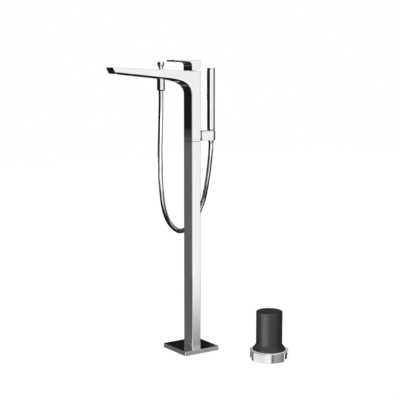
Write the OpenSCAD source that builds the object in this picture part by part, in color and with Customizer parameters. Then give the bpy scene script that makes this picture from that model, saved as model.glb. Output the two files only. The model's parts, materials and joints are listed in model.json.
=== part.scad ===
// Floor standing bath filler: a rectangular column with an arm spout, a lever mixer, a pull
// diverter and a stick handset on a metal hose, with the floor unit that carries it.
// Millimetres, +Z up. The origin is the centre of the base plate, on the floor.
// The spout points to -Y, and the handset stands behind the column on +Y.

/* [Base] */
// Side of the square cover plate
plate_w = 125; // [121:1:150]
// Height of the cover plate above the floor
plate_h = 13.5; // [12.5:0.5:20]
// Thickness of the cover plate's top and skirt
plate_wall = 2.5; // [1.5:0.5:3]
// Radius of the cover plate's upright corners
plate_r = 2; // [1:0.5:5]
// Gap between the floor flange and the cover plate's skirt
flange_margin = 4; // [1:0.5:8]
// Thickness of the floor flange
flange_h = 5; // [4:0.5:6]
// Radius of the floor flange's upright corners
flange_r = 6; // [2:1:14]
// Distance between the floor bolts, both ways
bolt_pitch = 84; // [76:1:88]
// Diameter of the floor bolt holes
bolt_hole_d = 8.5; // [6.5:0.5:10]
// Thickness of the rubber gasket under the flange
gasket_h = 1.5; // [1:0.5:2]
// Height of the flange's spigot inside the column
spigot_h = 60; // [40:1:90]

/* [Column] */
// Width of the column, left to right
col_w = 48; // [46:1:60]
// Depth of the column, front to back
col_d = 32; // [32:1:40]
// Wall of the column tube
col_wall = 2; // [1.5:0.25:2.25]
// Radius of the column's upright corners
col_r = 3; // [2.5:0.5:5]
// Distance of the column's axis behind the plate's centre
col_y = 5; // [0:0.5:10]
// Height of the seam between the column and the spout body
seam_z = 654; // [600:1:690]
// Open groove at the seam
seam_gap = 0.8; // [0.3:0.1:0.9]
// Wall of the spigot and of the sleeve that join the column
sleeve_wall = 3; // [2:0.5:3]
// Length of the sleeve above and below the seam
sleeve_half = 40; // [34:1:60]
// Thread diameter of the column's set screws
set_screw_d = 5; // [4:0.5:6]

/* [Supply] */
// Outer diameter of the two supply pipes
pipe_d = 12; // [10:0.5:12]
// Wall of the supply pipes
pipe_wall = 1; // [0.5:0.25:1.5]
// Distance between the supply pipes, axis to axis
pipe_pitch = 19; // [18:0.5:19.5]
// Outer diameter of the inlet sockets
socket_d = 16; // [15.5:0.5:17]
// Depth of the inlet sockets, from below
socket_depth = 12.5; // [10:0.5:16]

/* [Spout] */
// Height of the top of the spout body at the column
body_top_z = 867; // [840:1:900]
// Reach of the spout's tip from the column's axis
spout_reach = 287; // [250:1:320]
// Rise of the spout's top from the column to the tip
spout_rise = 10.5; // [6:0.5:16]
// Width of the spout at its tip
tip_w = 42; // [38:1:46]
// Height of the spout's end face
tip_h = 18; // [17:0.5:22]
// How far the end face leans back under the tip
tip_rake = 9.5; // [0:0.5:11]
// Thickness of the arm where its underside starts to curve down
arm_h = 22; // [21:0.5:26]
// How much deeper the arm's outside is there than its waterway needs
arm_belly = 4.8; // [0:0.1:6]
// Length of that curve in front of the column
curve_len = 99; // [85:1:115]
// Drop of that curve down the column's front
curve_drop = 54; // [48:1:70]
// Wall of the spout casting
spout_wall = 3; // [2.5:0.25:4]
// Width of the outlet slot under the tip
slot_w = 30; // [20:1:31]
// Length of the outlet slot under the tip
slot_l = 11; // [8:0.5:12]

/* [Mixer] */
// Diameter of the mixing cartridge
cartridge_d = 25; // [22:0.5:25]
// Height of the mixing cartridge
cartridge_h = 29.5; // [26:0.5:34]
// Gap between the spout body and the lever's block
handle_gap = 1; // [0.8:0.1:2]
// Height of the lever's block
handle_h = 32; // [30:0.5:40]
// Reach of the lever's tip from the column's axis
lever_reach = 78; // [60:1:90]
// Width of the lever at its tip
lever_tip_w = 44; // [30:1:48]
// Thickness of the lever at its tip
lever_tip_h = 5; // [4:0.5:7]
// Thickness of the lever beside its block
lever_root_h = 6.5; // [5:0.5:9]
// Radius of the cove between the lever and its block
lever_cove_r = 12; // [6:1:16]
// Height of the slope that lets the block's back tip down
heel_h = 9.5; // [8:0.5:12]
// Diameter of the lever's hinge pin
hinge_pin_d = 3; // [2:0.5:3.5]

/* [Diverter] */
// Distance of the diverter and the hose outlet in front of the column's axis
diverter_reach = 112; // [109:1:125]
// Diameter of the diverter knob's head
knob_d = 20.4; // [16:0.2:24]
// Diameter of the diverter knob's waist
knob_waist_d = 13; // [10:0.5:15]
// Height of the diverter knob
knob_h = 21.6; // [18:0.2:26]
// Diameter of the diverter's spindle
spindle_d = 6; // [4:0.5:7]
// Depth of the diverter's bushing inside the spout
bushing_depth = 5; // [4:0.5:6]

/* [Hose outlet] */
// Diameter of the collar under the spout
collar_d = 27; // [25:0.5:30]
// Height of the collar below the spout's underside
collar_h = 5.6; // [3.5:0.1:8]
// Thread diameter of the hose outlet
outlet_thread_d = 20.9; // [20:0.1:21]
// Outer diameter of the hose nut
nut_d = 23.5; // [23:0.5:26]
// Height of the hose nut
nut_h = 31.5; // [29:0.5:34]
// Height of the taper below the hose nut
nut_cone_h = 3.5; // [2:0.5:6]
// Outer diameter of the hose
hose_d = 15; // [14:0.5:16]

/* [Handset] */
// Distance of the handset's axis behind the column's axis
handset_reach = 70.5; // [62:0.5:80]
// Diameter of the handset
handset_d = 24; // [23.5:0.5:26]
// Length of the handset above its holder
handset_l = 192.5; // [170:0.5:230]
// Wall of the handset tube
handset_wall = 1.2; // [0.8:0.1:1.6]
// Angle that the nozzle strip covers
strip_angle = 76; // [40:1:90]
// Length of the nozzle strip
strip_l = 92; // [60:1:120]
// Height of the hose's conical nut
cone_h = 37.5; // [35:0.5:45]
// Height of the ferrule's foot below the conical nut
ferrule_foot_h = 3.2; // [2:0.1:8]

/* [Holder] */
// Width of the handset holder
holder_w = 27; // [26.5:0.5:32]
// Height of the handset holder
holder_h = 29; // [24:0.5:32]
// Height of the holder's lower face above the seam
holder_rise = 0.7; // [0.5:0.1:6]
// Length of the narrow neck behind the column
neck_l = 13; // [8:0.5:18]
// Width of the narrow neck
neck_w = 20; // [14:0.5:24]
// Thread diameter of the holder's screw
holder_screw_d = 5; // [4:0.5:6]

/* [Floor unit] */
// Place of the floor unit, left to right
unit_x = 220; // [180:1:300]
// Place of the floor unit, front to back
unit_y = 138; // [80:1:200]
// Diameter of the floor unit's ring
ring_d = 118; // [110:1:130]
// Height of the floor unit's ring
ring_h = 28; // [26:0.5:34]
// Diameter of the well inside the ring
well_d = 84; // [80:1:90]
// Thread bore of the floor unit's side ports
port_d = 18.6; // [15:0.2:19]
// Depth of the threaded side ports
port_depth = 9.5; // [8:0.5:10]
// Depth of the flats that the side ports open in
flat_depth = 3.3; // [1:0.1:4]
// Diameter of the floor unit's fixing circle
unit_pcd = 64; // [62:1:68]
// Diameter of the floor unit's fixing holes
unit_hole_d = 6.5; // [4.5:0.5:6.5]
// Height of the top of the upright stubs
stub_top_z = 105; // [80:1:120]
// Diameter of the protective cap
cap_d = 80; // [70:1:86]
// Height of the top of the protective cap
cap_top_z = 147; // [130:1:170]
// Diameter of the cap's flared foot
cap_foot_d = 102; // [90:1:106]
// Wall of the protective cap
cap_wall = 2; // [1.5:0.25:3]

/* [Hidden] */

$fn = 64;
// Gap between pieces that pass or face each other
clear = 0.3;
// Radial gap of a close fit, such as a shaft in its bore
running = 0.05;
// Gap in front of a piece that seats on another
seat = 0.1;
// Extra length of a cutting shape past the face that it cuts
cut = 1;

chrome = [0.80, 0.81, 0.83];
brass = [0.78, 0.62, 0.32];
steel = [0.60, 0.61, 0.63];
rubber = [0.12, 0.12, 0.12];
black_plastic = [0.16, 0.16, 0.17];
grey_plastic = [0.55, 0.56, 0.58];

// Column and base
front_y = col_y - col_d / 2;
back_y = col_y + col_d / 2;
flange_w = plate_w - 2 * plate_wall - 2 * flange_margin;
flange_z = gasket_h;
flange_top = flange_z + flange_h;
sleeve_w = col_w - 2 * col_wall - 2 * clear;
sleeve_d = col_d - 2 * col_wall - 2 * clear;
sleeve_r = max(col_r - col_wall - clear, 0.5);
duct_w = sleeve_w - 2 * sleeve_wall;
duct_d = sleeve_d - 2 * sleeve_wall;
duct_r = 1;
column_top = seam_z - seam_gap / 2;
body_z = seam_z + seam_gap / 2;
set_screw_l = col_wall + clear + sleeve_wall - 0.3;
set_screw_x = duct_w / 2 - 6;
base_screw_z = flange_top + 4;
sleeve_screw_z = seam_z - 14;

// Supply
pipe_x = [-pipe_pitch / 2, pipe_pitch / 2];
socket_bore_d = pipe_d;
socket_web = 1.5;
socket_head_d = min(pipe_pitch - 0.8, duct_w - pipe_pitch - 2 * seat, duct_d - 2 * clear);
socket_grip = 11;
pipe_z = flange_z + socket_depth + socket_web;
socket_top = pipe_z + socket_grip;
pipe_bore_d = pipe_d - 2 * pipe_wall;
pipe_socket_h = 12;

// Spout arm: its top is one line and its underside is a line and a quadratic curve
tip_y = col_y - spout_reach;
tip_top_z = body_top_z + spout_rise;
tip_low_y = tip_y + tip_rake;
tip_low_z = tip_top_z - tip_h;
curve_y = front_y - curve_len;
function arm_top(y) = body_top_z + spout_rise * (front_y - y) / (front_y - tip_y);
curve_z = arm_top(curve_y) - arm_h;
function arm_low(y) = curve_z + (tip_low_z - curve_z) * (curve_y - y) / (curve_y - tip_low_y);
function bezier(a, b, c, n) = [
    for (i = [0:n]) let (t = i / n) (1 - t) * (1 - t) * a + 2 * t * (1 - t) * b + t * t * c
];
function underside(inset, drop) = bezier(
    [curve_y, curve_z + inset],
    [front_y - inset, arm_low(front_y) + inset],
    [front_y - inset, curve_z - drop],
    14
);
curve_end_z = curve_z - curve_drop;
skin_y = front_y - 0.8 * curve_len;
skin_slope = (tip_low_z - curve_z + arm_belly) / (curve_y - tip_low_y);
function skin_low(y) = tip_low_z - skin_slope * (y - tip_low_y);
under_arm_z = curve_end_z + 20;
roof_wall = spout_wall + 1;
slot_y = tip_low_y + 15.5;
channel_end_y = slot_y - slot_l / 2 - 1;

// Mixer
nut_bore_d = cartridge_d + 2;
nut_ring_h = 13;
cartridge_nut_top = body_top_z - 1;
cartridge_top = cartridge_nut_top - nut_ring_h;
seal_h = 1.5;
cartridge_z = cartridge_top - cartridge_h;
seat_z = cartridge_z - seal_h;
port_pitch = pipe_pitch * 0.7;
port_bore_d = 5;
mixed_bore_d = 8;
mixed_z = seat_z + 14;
cast_z = seat_z - 2 * pipe_socket_h;
pipe_top = cast_z + pipe_socket_h;
carrier_d = cartridge_d - 5;
shaft_d = 10;
shaft_l = 9;
carrier_z = cartridge_top + clear;
hinge_z = body_top_z + handle_gap;
handle_z = hinge_z;
handle_top = handle_z + handle_h;
ear_t = 3;
ear_gap = 11.8;
ear_w = 8;
pin_gap = 0.02;
ear_top = hinge_z + 4.3;
ear_floor_z = hinge_z - 8;
blade_z = hinge_z - 6;
blade_w = ear_gap - 2 * clear;
stem_d = 8;
pocket_top = hinge_z + 10;
stem_top = pocket_top + 13;
lever_tip_y = col_y - lever_reach;
heel_y = col_y + 1.5;
grub_z = stem_top - 6;
grub_d = 5;
grub_end_y = back_y - 4;
plug_d = 6;

// Diverter and hose outlet
diverter_y = col_y - diverter_reach;
bushing_seat_z = arm_top(diverter_y) - 0.6;
bushing_collar_h = 2;
bushing_collar_d = knob_d - 3.4;
bushing_d = 12;
knob_bore_l = 12;
knob_edge = 0.8;
knob_z = bushing_seat_z + bushing_collar_h + clear;
collar_seat_z = arm_low(diverter_y) + 0.9;
nipple_top = arm_low(diverter_y) + spout_wall + 1;
nipple_bore_d = 15;
collar_z = arm_low(diverter_y) - collar_h;
nipple_z = collar_z - 17;
seal_disc_z = nipple_top + clear;
seal_disc_h = 3;
nut_top = collar_z - clear;
nut_z = collar_z - nut_h;
nut_end_z = nut_z - nut_cone_h;
nipple_neck_d = nipple_bore_d - 4;
check_bore_d = 7;
check_l = 14;
washer_h = 2.2;
washer_bore_d = nipple_neck_d;
ferrule_flange_h = 2;
ferrule_neck_d = hose_d - 2.6;
ferrule_bore_d = 9;

// Handset and holder
handset_y = col_y + handset_reach;
holder_z = seam_z + holder_rise;
holder_top = holder_z + holder_h;
handset_z = holder_top + clear;
handset_top = handset_z + handset_l;
cap_h = 4.5;
cap_edge = 0.8;
tube_z = handset_z + 6;
tube_top = handset_top - cap_h;
handset_edge_r = 4;
tube_bore_d = handset_d - 2 * handset_wall;
core_d = 16;
core_z = tube_z + 3;
joint_top = tube_z + 10;
core_wall = 1.2;
strip_t = 1.6;
cap_plug_h = 2;
strip_top = tube_top - cap_plug_h;
strip_z = strip_top - strip_l;
strip_proud = 0.3;
cone_z = handset_z - cone_h;
cone_top_d = handset_d - 1.6;
cone_mid_d = cone_top_d - 2;
cone_mid_z = holder_z - 0.7;
bush_d = holder_w - 2.4;
thread_d = 19.2;
shoulder_z = cone_z + 16;
swivel_z = shoulder_z + 2 * seat;
spigot_end_z = handset_z - 17;
neck_end_y = back_y + neck_l;
holder_screw_z = holder_z + holder_h / 2;
screw_head_h = 3;
screw_head_d = 8.4;
screw_head_y = back_y - col_wall - clear - sleeve_wall;
screw_end_y = neck_end_y + 14;

// Floor unit: the angles of the side ports, and how far from the axis their flats lie
port_angles = [30, 243];
port_face = ring_d / 2 - flat_depth;
port_z = ring_h / 2;
elbow_d = 14;
elbow_end = well_d / 2 + 2;
web_h = port_z - elbow_d / 2 - 0.5;
stub_d = pipe_d - 2 * seat;
stub_bore_d = 8.4;
stub_r = pipe_pitch / 2 / sin((port_angles[1] - port_angles[0]) / 2);
o_ring_d = 1.8;
o_ring_path_d = stub_d - seat;
o_ring_z = [stub_top_z - 8, stub_top_z - 15];
hole_turn = (port_angles[0] + port_angles[1]) / 2 - 45;
cap_z = ring_h + 2 * seat;
cap_edge_r = 3;
cap_flare_h = 18;

// Free route of the hose, from the nut under the spout to the cone under the handset
hose_route = [
    [0, -107, 808], [0, -107, 772], [0, -108, 738], [0, -109, 705], [0, -110, 670],
    [-2, -110, 631], [-5, -107, 585], [-9, -104, 540], [-13, -97, 492], [-18, -89, 458],
    [-23, -77, 428], [-28, -64, 407], [-35, -48, 391], [-42, -30, 378], [-49, -13, 370],
    [-56, 5, 368], [-62, 23, 371], [-65, 41, 381], [-64, 56, 396], [-60, 68, 417],
    [-53, 75, 441], [-44, 79, 466], [-34, 79, 494], [-24, 78, 524], [-13, 77, 562],
    [-5, 76, 600], [-1, 75.5, 625], [0, 75.5, 643],
];
hose_sides = 12;

// ---------------------------------------------------------------- shared shapes

module rounded_rect(w, d, r) {
    square([w - 2 * r, d], center = true);
    square([w, d - 2 * r], center = true);
    for (x = [-1, 1], y = [-1, 1]) {
        translate([x * (w / 2 - r), y * (d / 2 - r)]) circle(r = r, $fn = 48);
    }
}

module rounded_bar(w, d, r, z0, z1) {
    translate([0, 0, z0]) linear_extrude(z1 - z0) rounded_rect(w, d, r);
}

// A bar in line with the column
module column_bar(w, d, r, z0, z1) {
    translate([0, col_y, 0]) rounded_bar(w, d, r, z0, z1);
}

// A cylinder that stands on z0 and ends at z1
module post(d, z0, z1) {
    translate([0, 0, z0]) cylinder(d = d, h = z1 - z0);
}

// A frustum between two heights
module taper(d0, d1, z0, z1) {
    translate([0, 0, z0]) cylinder(d1 = d0, d2 = d1, h = z1 - z0);
}

// A ring with a straight bore
module ring(d, bore, z0, z1) {
    difference() {
        post(d, z0, z1);
        post(bore, z0 - cut, z1 + cut);
    }
}

// A cylinder along Y, from y0 to y1
module rod_y(d, y0, y1, z) {
    translate([0, y0, z]) rotate([-90, 0, 0]) cylinder(d = d, h = y1 - y0);
}

// A (y, z) outline made w wide across X
module across(w) {
    rotate([90, 0, 90]) translate([0, 0, -w / 2]) linear_extrude(w) children();
}

module at_pipes() {
    for (x = pipe_x) translate([x, col_y, 0]) children();
}

module at_diverter() {
    translate([0, diverter_y, 0]) children();
}

module at_handset() {
    translate([0, handset_y, 0]) children();
}

module at_floor_unit() {
    translate([unit_x, unit_y, 0]) children();
}

// ---------------------------------------------------------------- base

module base_cover_plate() {
    inner = plate_w - 2 * plate_wall;
    color(chrome) difference() {
        rounded_bar(plate_w, plate_w, plate_r, 0, plate_h);
        rounded_bar(inner, inner, 0.5, -cut, plate_h - plate_wall);
        column_bar(col_w + 2 * clear, col_d + 2 * clear, col_r + clear, 0, plate_h + cut);
    }
}

module bolt_holes(z0, z1) {
    for (x = [-1, 1], y = [-1, 1]) {
        translate([x * bolt_pitch / 2, y * bolt_pitch / 2, 0]) post(bolt_hole_d, z0, z1);
    }
}

module floor_flange() {
    color(steel) difference() {
        rounded_bar(flange_w, flange_w, flange_r, flange_z, flange_top);
        at_pipes() post(socket_d + 2 * clear, 0, flange_top + cut);
        bolt_holes(0, flange_top + cut);
    }
}

module column_spigot() {
    color(steel) difference() {
        column_bar(sleeve_w, sleeve_d, sleeve_r, flange_top, flange_top + spigot_h);
        column_bar(duct_w, duct_d, duct_r, flange_top - cut, flange_top + spigot_h + cut);
        set_screws(base_screw_z, clear / 2);
    }
}

module floor_gasket() {
    color(rubber) difference() {
        rounded_bar(flange_w, flange_w, flange_r, 0, gasket_h);
        column_bar(duct_w, duct_d, duct_r, -cut, gasket_h + cut);
        bolt_holes(-cut, gasket_h + cut);
    }
}

module inlet_sockets() {
    color(brass) at_pipes() difference() {
        union() {
            post(socket_d, flange_z, flange_top);
            post(socket_head_d, flange_top, socket_top);
        }
        post(socket_bore_d, 0, flange_z + socket_depth);
        post(pipe_bore_d, flange_z, socket_top + cut);
        post(pipe_d + 2 * running, pipe_z, socket_top + cut);
    }
}

module supply_pipe() {
    ring(pipe_d, pipe_bore_d, pipe_z + seat, pipe_top);
}

module hot_supply_pipe() {
    color(brass) translate([pipe_x[1], col_y, 0]) supply_pipe();
}

module cold_supply_pipe() {
    color(brass) translate([pipe_x[0], col_y, 0]) supply_pipe();
}

// ---------------------------------------------------------------- column

// Two screws through the back wall at one height, with room around them where wanted
module set_screws(z, room) {
    for (x = [-1, 1]) {
        translate([x * set_screw_x, 0, 0])
            rod_y(set_screw_d + 2 * room, back_y - set_screw_l - 2 * room, back_y + room, z);
    }
}

module column_tube() {
    color(chrome) difference() {
        column_bar(col_w, col_d, col_r, flange_top, column_top);
        column_bar(
            col_w - 2 * col_wall, col_d - 2 * col_wall, max(col_r - col_wall, 0.5),
            flange_top - cut, column_top + cut
        );
        set_screws(base_screw_z, clear / 2);
        set_screws(sleeve_screw_z, clear / 2);
    }
}

module column_sleeve() {
    color(steel) difference() {
        column_bar(sleeve_w, sleeve_d, sleeve_r, seam_z - sleeve_half, seam_z + sleeve_half);
        column_bar(
            duct_w, duct_d, duct_r, seam_z - sleeve_half - cut, seam_z + sleeve_half + cut
        );
        set_screws(sleeve_screw_z, clear / 2);
        holder_screw_hole();
    }
}

module column_set_screws() {
    color(steel) {
        set_screws(base_screw_z, 0);
        set_screws(sleeve_screw_z, 0);
    }
}

// ---------------------------------------------------------------- spout

module arm_plan(inset) {
    polygon([
        [-col_w / 2 + inset, col_y], [-col_w / 2 + inset, front_y], [-tip_w / 2 + inset, tip_y],
        [tip_w / 2 - inset, tip_y], [col_w / 2 - inset, front_y], [col_w / 2 - inset, col_y]
    ]);
}

module arm() {
    intersection() {
        across(col_w) polygon(concat(
            [[col_y, curve_end_z], [col_y, body_top_z], [front_y, body_top_z]],
            [[tip_y, tip_top_z], [tip_low_y, tip_low_z]],
            bezier(
                [skin_y, skin_low(skin_y)], [front_y, skin_low(front_y)], [front_y, curve_end_z], 14
            )
        ));
        translate([0, 0, curve_end_z - cut])
            linear_extrude(tip_top_z - curve_end_z + 2 * cut) arm_plan(0);
    }
}

// The waterway inside the arm, from the mixer to the outlet slot
module arm_channel() {
    channel_y = front_y - spout_wall;
    intersection() {
        across(col_w) polygon(concat(
            [[channel_y, arm_top(channel_y) - roof_wall]],
            [[channel_end_y, arm_top(channel_end_y) - roof_wall]],
            [[channel_end_y, arm_low(channel_end_y) + spout_wall]],
            underside(spout_wall, curve_drop / 2)
        ));
        translate([0, 0, curve_end_z]) linear_extrude(tip_top_z - curve_end_z)
            arm_plan(spout_wall);
    }
}

// The box that the outlet insert fills, larger by room on each side
module outlet_slot(room, z0, z1) {
    translate([-slot_w / 2 - room, slot_y - slot_l / 2 - room, z0])
        cube([slot_w + 2 * room, slot_l + 2 * room, z1 - z0]);
}

module spout_body() {
    color(chrome) difference() {
        union() {
            column_bar(col_w, col_d, col_r, body_z, body_top_z);
            arm();
        }
        column_bar(
            col_w - 2 * col_wall, col_d - 2 * col_wall, max(col_r - col_wall, 0.5),
            body_z - cut, cast_z
        );
        arm_channel();
        at_pipes() post(pipe_d + 2 * running, cast_z - cut, pipe_top + seat);
        at_pipes() post(port_bore_d, pipe_top, seat_z + cut);
        translate([0, col_y, 0]) post(cartridge_d + 2 * running, seat_z, body_top_z);
        translate([0, col_y, 0]) post(nut_bore_d + 2 * running, cartridge_top, body_top_z + cut);
        rod_y(mixed_bore_d, front_y - spout_wall - 6, col_y - cartridge_d / 2 + cut, mixed_z);
        at_diverter()
            post(bushing_d + 2 * running, bushing_seat_z - roof_wall - cut, tip_top_z);
        at_diverter() post(bushing_collar_d + 4 * seat, bushing_seat_z, tip_top_z);
        at_diverter() post(outlet_thread_d + 2 * running, under_arm_z, nipple_top);
        at_diverter() post(collar_d + 2 * seat, under_arm_z, collar_seat_z);
        outlet_slot(2 * seat, under_arm_z, arm_low(slot_y) + spout_wall + 2);
        holder_screw_hole();
    }
}

module outlet_insert() {
    low = arm_low(slot_y) + 0.6;
    color(black_plastic) difference() {
        outlet_slot(0, low, low + 7);
        for (i = [-2:2]) {
            translate([i * slot_w / 5 - slot_w / 14, slot_y - slot_l / 2 + 1.5, low - cut])
                cube([slot_w / 7, slot_l - 3, 7 + 2 * cut]);
        }
    }
}

// ---------------------------------------------------------------- mixer

// The two water ports below the cartridge
module cartridge_ports(z0, z1) {
    for (x = [-1, 1]) translate([x * port_pitch / 2, 0, 0]) post(port_bore_d, z0, z1);
}

module cartridge_seal() {
    color(rubber) translate([0, col_y, 0]) difference() {
        post(cartridge_d - 1, seat_z, cartridge_z);
        cartridge_ports(seat_z - cut, cartridge_z + cut);
    }
}

module mixing_cartridge() {
    color(grey_plastic) translate([0, col_y, 0]) difference() {
        post(cartridge_d, cartridge_z, cartridge_top);
        cartridge_ports(cartridge_z - cut, mixed_z - mixed_bore_d / 2);
        rod_y(mixed_bore_d, -cartridge_d, 0, mixed_z);
        post(shaft_d + 2 * running, cartridge_top - shaft_l, cartridge_top + cut);
    }
}

module cartridge_nut() {
    color(brass) translate([0, col_y, 0])
        ring(nut_bore_d, carrier_d + 2 * clear, cartridge_top + seat, cartridge_nut_top);
}

module cartridge_carrier() {
    color(grey_plastic) translate([0, col_y, 0]) difference() {
        union() {
            post(shaft_d, cartridge_top - shaft_l + clear, carrier_z);
            post(carrier_d, carrier_z, ear_floor_z);
            for (x = [-1, 1]) {
                translate([x * (ear_gap + ear_t) / 2 - ear_t / 2, -ear_w / 2, ear_floor_z])
                    cube([ear_t, ear_w, ear_top - ear_floor_z]);
            }
        }
        lever_pin_shape(pin_gap);
    }
}

module lever_pin_shape(room) {
    length = ear_gap + 2 * ear_t;
    translate([-length / 2 - room, 0, hinge_z]) rotate([0, 90, 0])
        cylinder(d = hinge_pin_d + 2 * room, h = length + 2 * room);
}

module lever_pin() {
    color(steel) translate([0, col_y, 0]) lever_pin_shape(0);
}

module lever_stem() {
    color(steel) translate([0, col_y, 0]) difference() {
        union() {
            translate([-blade_w / 2, -ear_w / 2, blade_z])
                cube([blade_w, ear_w, pocket_top - blade_z]);
            post(stem_d, pocket_top, stem_top);
        }
        lever_pin_shape(running);
    }
}

module lever_outline() {
    cove_y = front_y - lever_cove_r;
    root_z = handle_top - lever_root_h;
    cove = [
        for (i = [0:8]) let (a = i * 90 / 8)
            [cove_y + lever_cove_r * cos(a), root_z - lever_cove_r + lever_cove_r * sin(a)]
    ];
    polygon(concat(
        [[heel_y, handle_z], [front_y, handle_z]],
        cove,
        [[lever_tip_y, handle_top - lever_tip_h], [lever_tip_y, handle_top]],
        [[back_y, handle_top], [back_y, handle_z + heel_h]]
    ));
}

module lever_plan() {
    translate([0, col_y]) rounded_rect(col_w, col_d, col_r);
    polygon([
        [-col_w / 2, col_y], [-col_w / 2, front_y], [-lever_tip_w / 2, lever_tip_y],
        [lever_tip_w / 2, lever_tip_y], [col_w / 2, front_y], [col_w / 2, col_y]
    ]);
}

module lever_handle() {
    pocket_w = ear_gap + 2 * ear_t + 4; // room for the carrier's ears beside the stem
    pocket_d = ear_w + 6; // and for their swing as the lever lifts
    color(chrome) difference() {
        intersection() {
            across(col_w) lever_outline();
            translate([0, 0, handle_z - cut]) linear_extrude(handle_h + 2 * cut) lever_plan();
        }
        translate([-pocket_w / 2, col_y - pocket_d / 2, handle_z - cut])
            cube([pocket_w, pocket_d, pocket_top + cut - handle_z]);
        translate([0, col_y, 0]) post(stem_d + 2 * running, handle_z, stem_top + 2 * seat);
        rod_y(grub_d + 2 * running, col_y, back_y, grub_z);
        rod_y(plug_d + 2 * running, grub_end_y, back_y + cut, grub_z);
    }
}

module handle_grub_screw() {
    color(steel) rod_y(grub_d, col_y + stem_d / 2 + seat, grub_end_y - 2 * seat, grub_z);
}

module handle_screw_plug() {
    color(grey_plastic) rod_y(plug_d, grub_end_y, back_y, grub_z);
}

// ---------------------------------------------------------------- diverter

module diverter_bushing() {
    color(chrome) at_diverter() difference() {
        union() {
            post(bushing_d, bushing_seat_z - bushing_depth, bushing_seat_z);
            post(bushing_collar_d, bushing_seat_z, bushing_seat_z + bushing_collar_h);
        }
        post(spindle_d + 2 * running, bushing_seat_z - bushing_depth - cut, knob_z);
    }
}

module diverter_spindle() {
    color(steel) at_diverter() post(spindle_d, seal_disc_z, knob_z + knob_bore_l);
}

module diverter_seal() {
    color(rubber) at_diverter()
        ring(outlet_thread_d - 3, spindle_d + 2 * pin_gap, seal_disc_z, seal_disc_z + seal_disc_h);
}

module diverter_knob() {
    waist_z = knob_z + knob_h * 0.2;
    head_z = knob_z + knob_h * 0.62;
    top_z = knob_z + knob_h;
    color(chrome) at_diverter() difference() {
        union() {
            post(knob_waist_d, knob_z, waist_z);
            taper(knob_waist_d, knob_d, waist_z, head_z);
            post(knob_d, head_z, top_z - knob_edge);
            taper(knob_d, knob_d - 2 * knob_edge, top_z - knob_edge, top_z);
        }
        post(spindle_d + 2 * pin_gap, knob_z - cut, knob_z + knob_bore_l + seat);
    }
}

// ---------------------------------------------------------------- hose outlet

module shower_outlet() {
    color(chrome) at_diverter() difference() {
        union() {
            post(outlet_thread_d, nipple_z, nipple_top);
            post(collar_d, collar_z, collar_seat_z);
        }
        post(nipple_bore_d, nipple_z - cut, nipple_top - 3);
        post(nipple_neck_d, nipple_z - cut, nipple_top + cut);
    }
}

module check_valve() {
    color(grey_plastic) at_diverter()
        ring(nipple_bore_d - 2 * running, check_bore_d, nipple_z + 2, nipple_z + 2 + check_l);
}

module outlet_washer() {
    color(rubber) at_diverter()
        ring(outlet_thread_d - 2 * clear, washer_bore_d, nipple_z - seat - washer_h, nipple_z - seat);
}

module hose_top_ferrule() {
    flange_high = nipple_z - 2 * seat - washer_h;
    color(brass) at_diverter() difference() {
        union() {
            post(outlet_thread_d - 1, flange_high - ferrule_flange_h, flange_high);
            post(ferrule_neck_d, nut_end_z + seat, flange_high - ferrule_flange_h);
        }
        post(ferrule_bore_d, nut_end_z, flange_high + cut);
    }
}

module hose_nut() {
    lip_z = nipple_z - 4 * seat - washer_h - ferrule_flange_h;
    color(chrome) at_diverter() difference() {
        union() {
            taper(hose_d, nut_d, nut_end_z, nut_z);
            post(nut_d, nut_z, nut_top);
        }
        post(ferrule_neck_d + 2 * clear, nut_end_z - cut, lip_z + cut);
        post(outlet_thread_d + 2 * running, lip_z, nut_top + cut);
    }
}

// ---------------------------------------------------------------- hose

function unit(v) = v / norm(v);
function hose_heading(i) =
    i == 0 ? [0, 0, -1] :
    i == len(hose_route) - 1 ? [0, 0, 1] : unit(hose_route[i + 1] - hose_route[i - 1]);
function hose_ring(i) =
    let (t = hose_heading(i), side = unit(cross(t, [1, 0, 0])), up = cross(t, side))
    [
        for (k = [0:hose_sides - 1]) let (a = k * 360 / hose_sides)
            hose_route[i] + hose_d / 2 * (cos(a) * side + sin(a) * up)
    ];

module shower_hose() {
    rings = len(hose_route);
    points = [for (i = [0:rings - 1]) each hose_ring(i)];
    sides = [
        for (i = [0:rings - 2], k = [0:hose_sides - 1])
            let (a = i * hose_sides, b = a + hose_sides, n = (k + 1) % hose_sides)
            [a + k, b + k, b + n, a + n]
    ];
    first_end = [for (k = [0:hose_sides - 1]) k];
    last_end = [for (k = [hose_sides - 1:-1:0]) (rings - 1) * hose_sides + k];
    color(chrome) polyhedron(points, concat(sides, [first_end, last_end]), convexity = 6);
}

// ---------------------------------------------------------------- handset

module hose_swivel_ferrule() {
    foot_top = cone_z - clear;
    foot_z = foot_top - ferrule_foot_h;
    collar_top = swivel_z + ferrule_flange_h;
    color(chrome) at_handset() difference() {
        union() {
            post(hose_d, foot_z, foot_top);
            post(ferrule_neck_d, foot_top, swivel_z);
            post(thread_d - 1.6, swivel_z, collar_top);
        }
        post(ferrule_bore_d, foot_z - cut, collar_top + cut);
    }
}

module hose_cone_nut() {
    color(chrome) at_handset() difference() {
        union() {
            taper(hose_d, cone_mid_d, cone_z, cone_mid_z);
            taper(cone_mid_d, cone_top_d, cone_mid_z, handset_z - seat);
        }
        post(ferrule_neck_d + 2 * running, cone_z - cut, shoulder_z + cut);
        post(thread_d, shoulder_z, handset_z + cut);
    }
}

module handset_washer() {
    color(rubber) at_handset()
        ring(thread_d - 4 * seat, washer_bore_d, spigot_end_z - seat - washer_h, spigot_end_z - seat);
}

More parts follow.
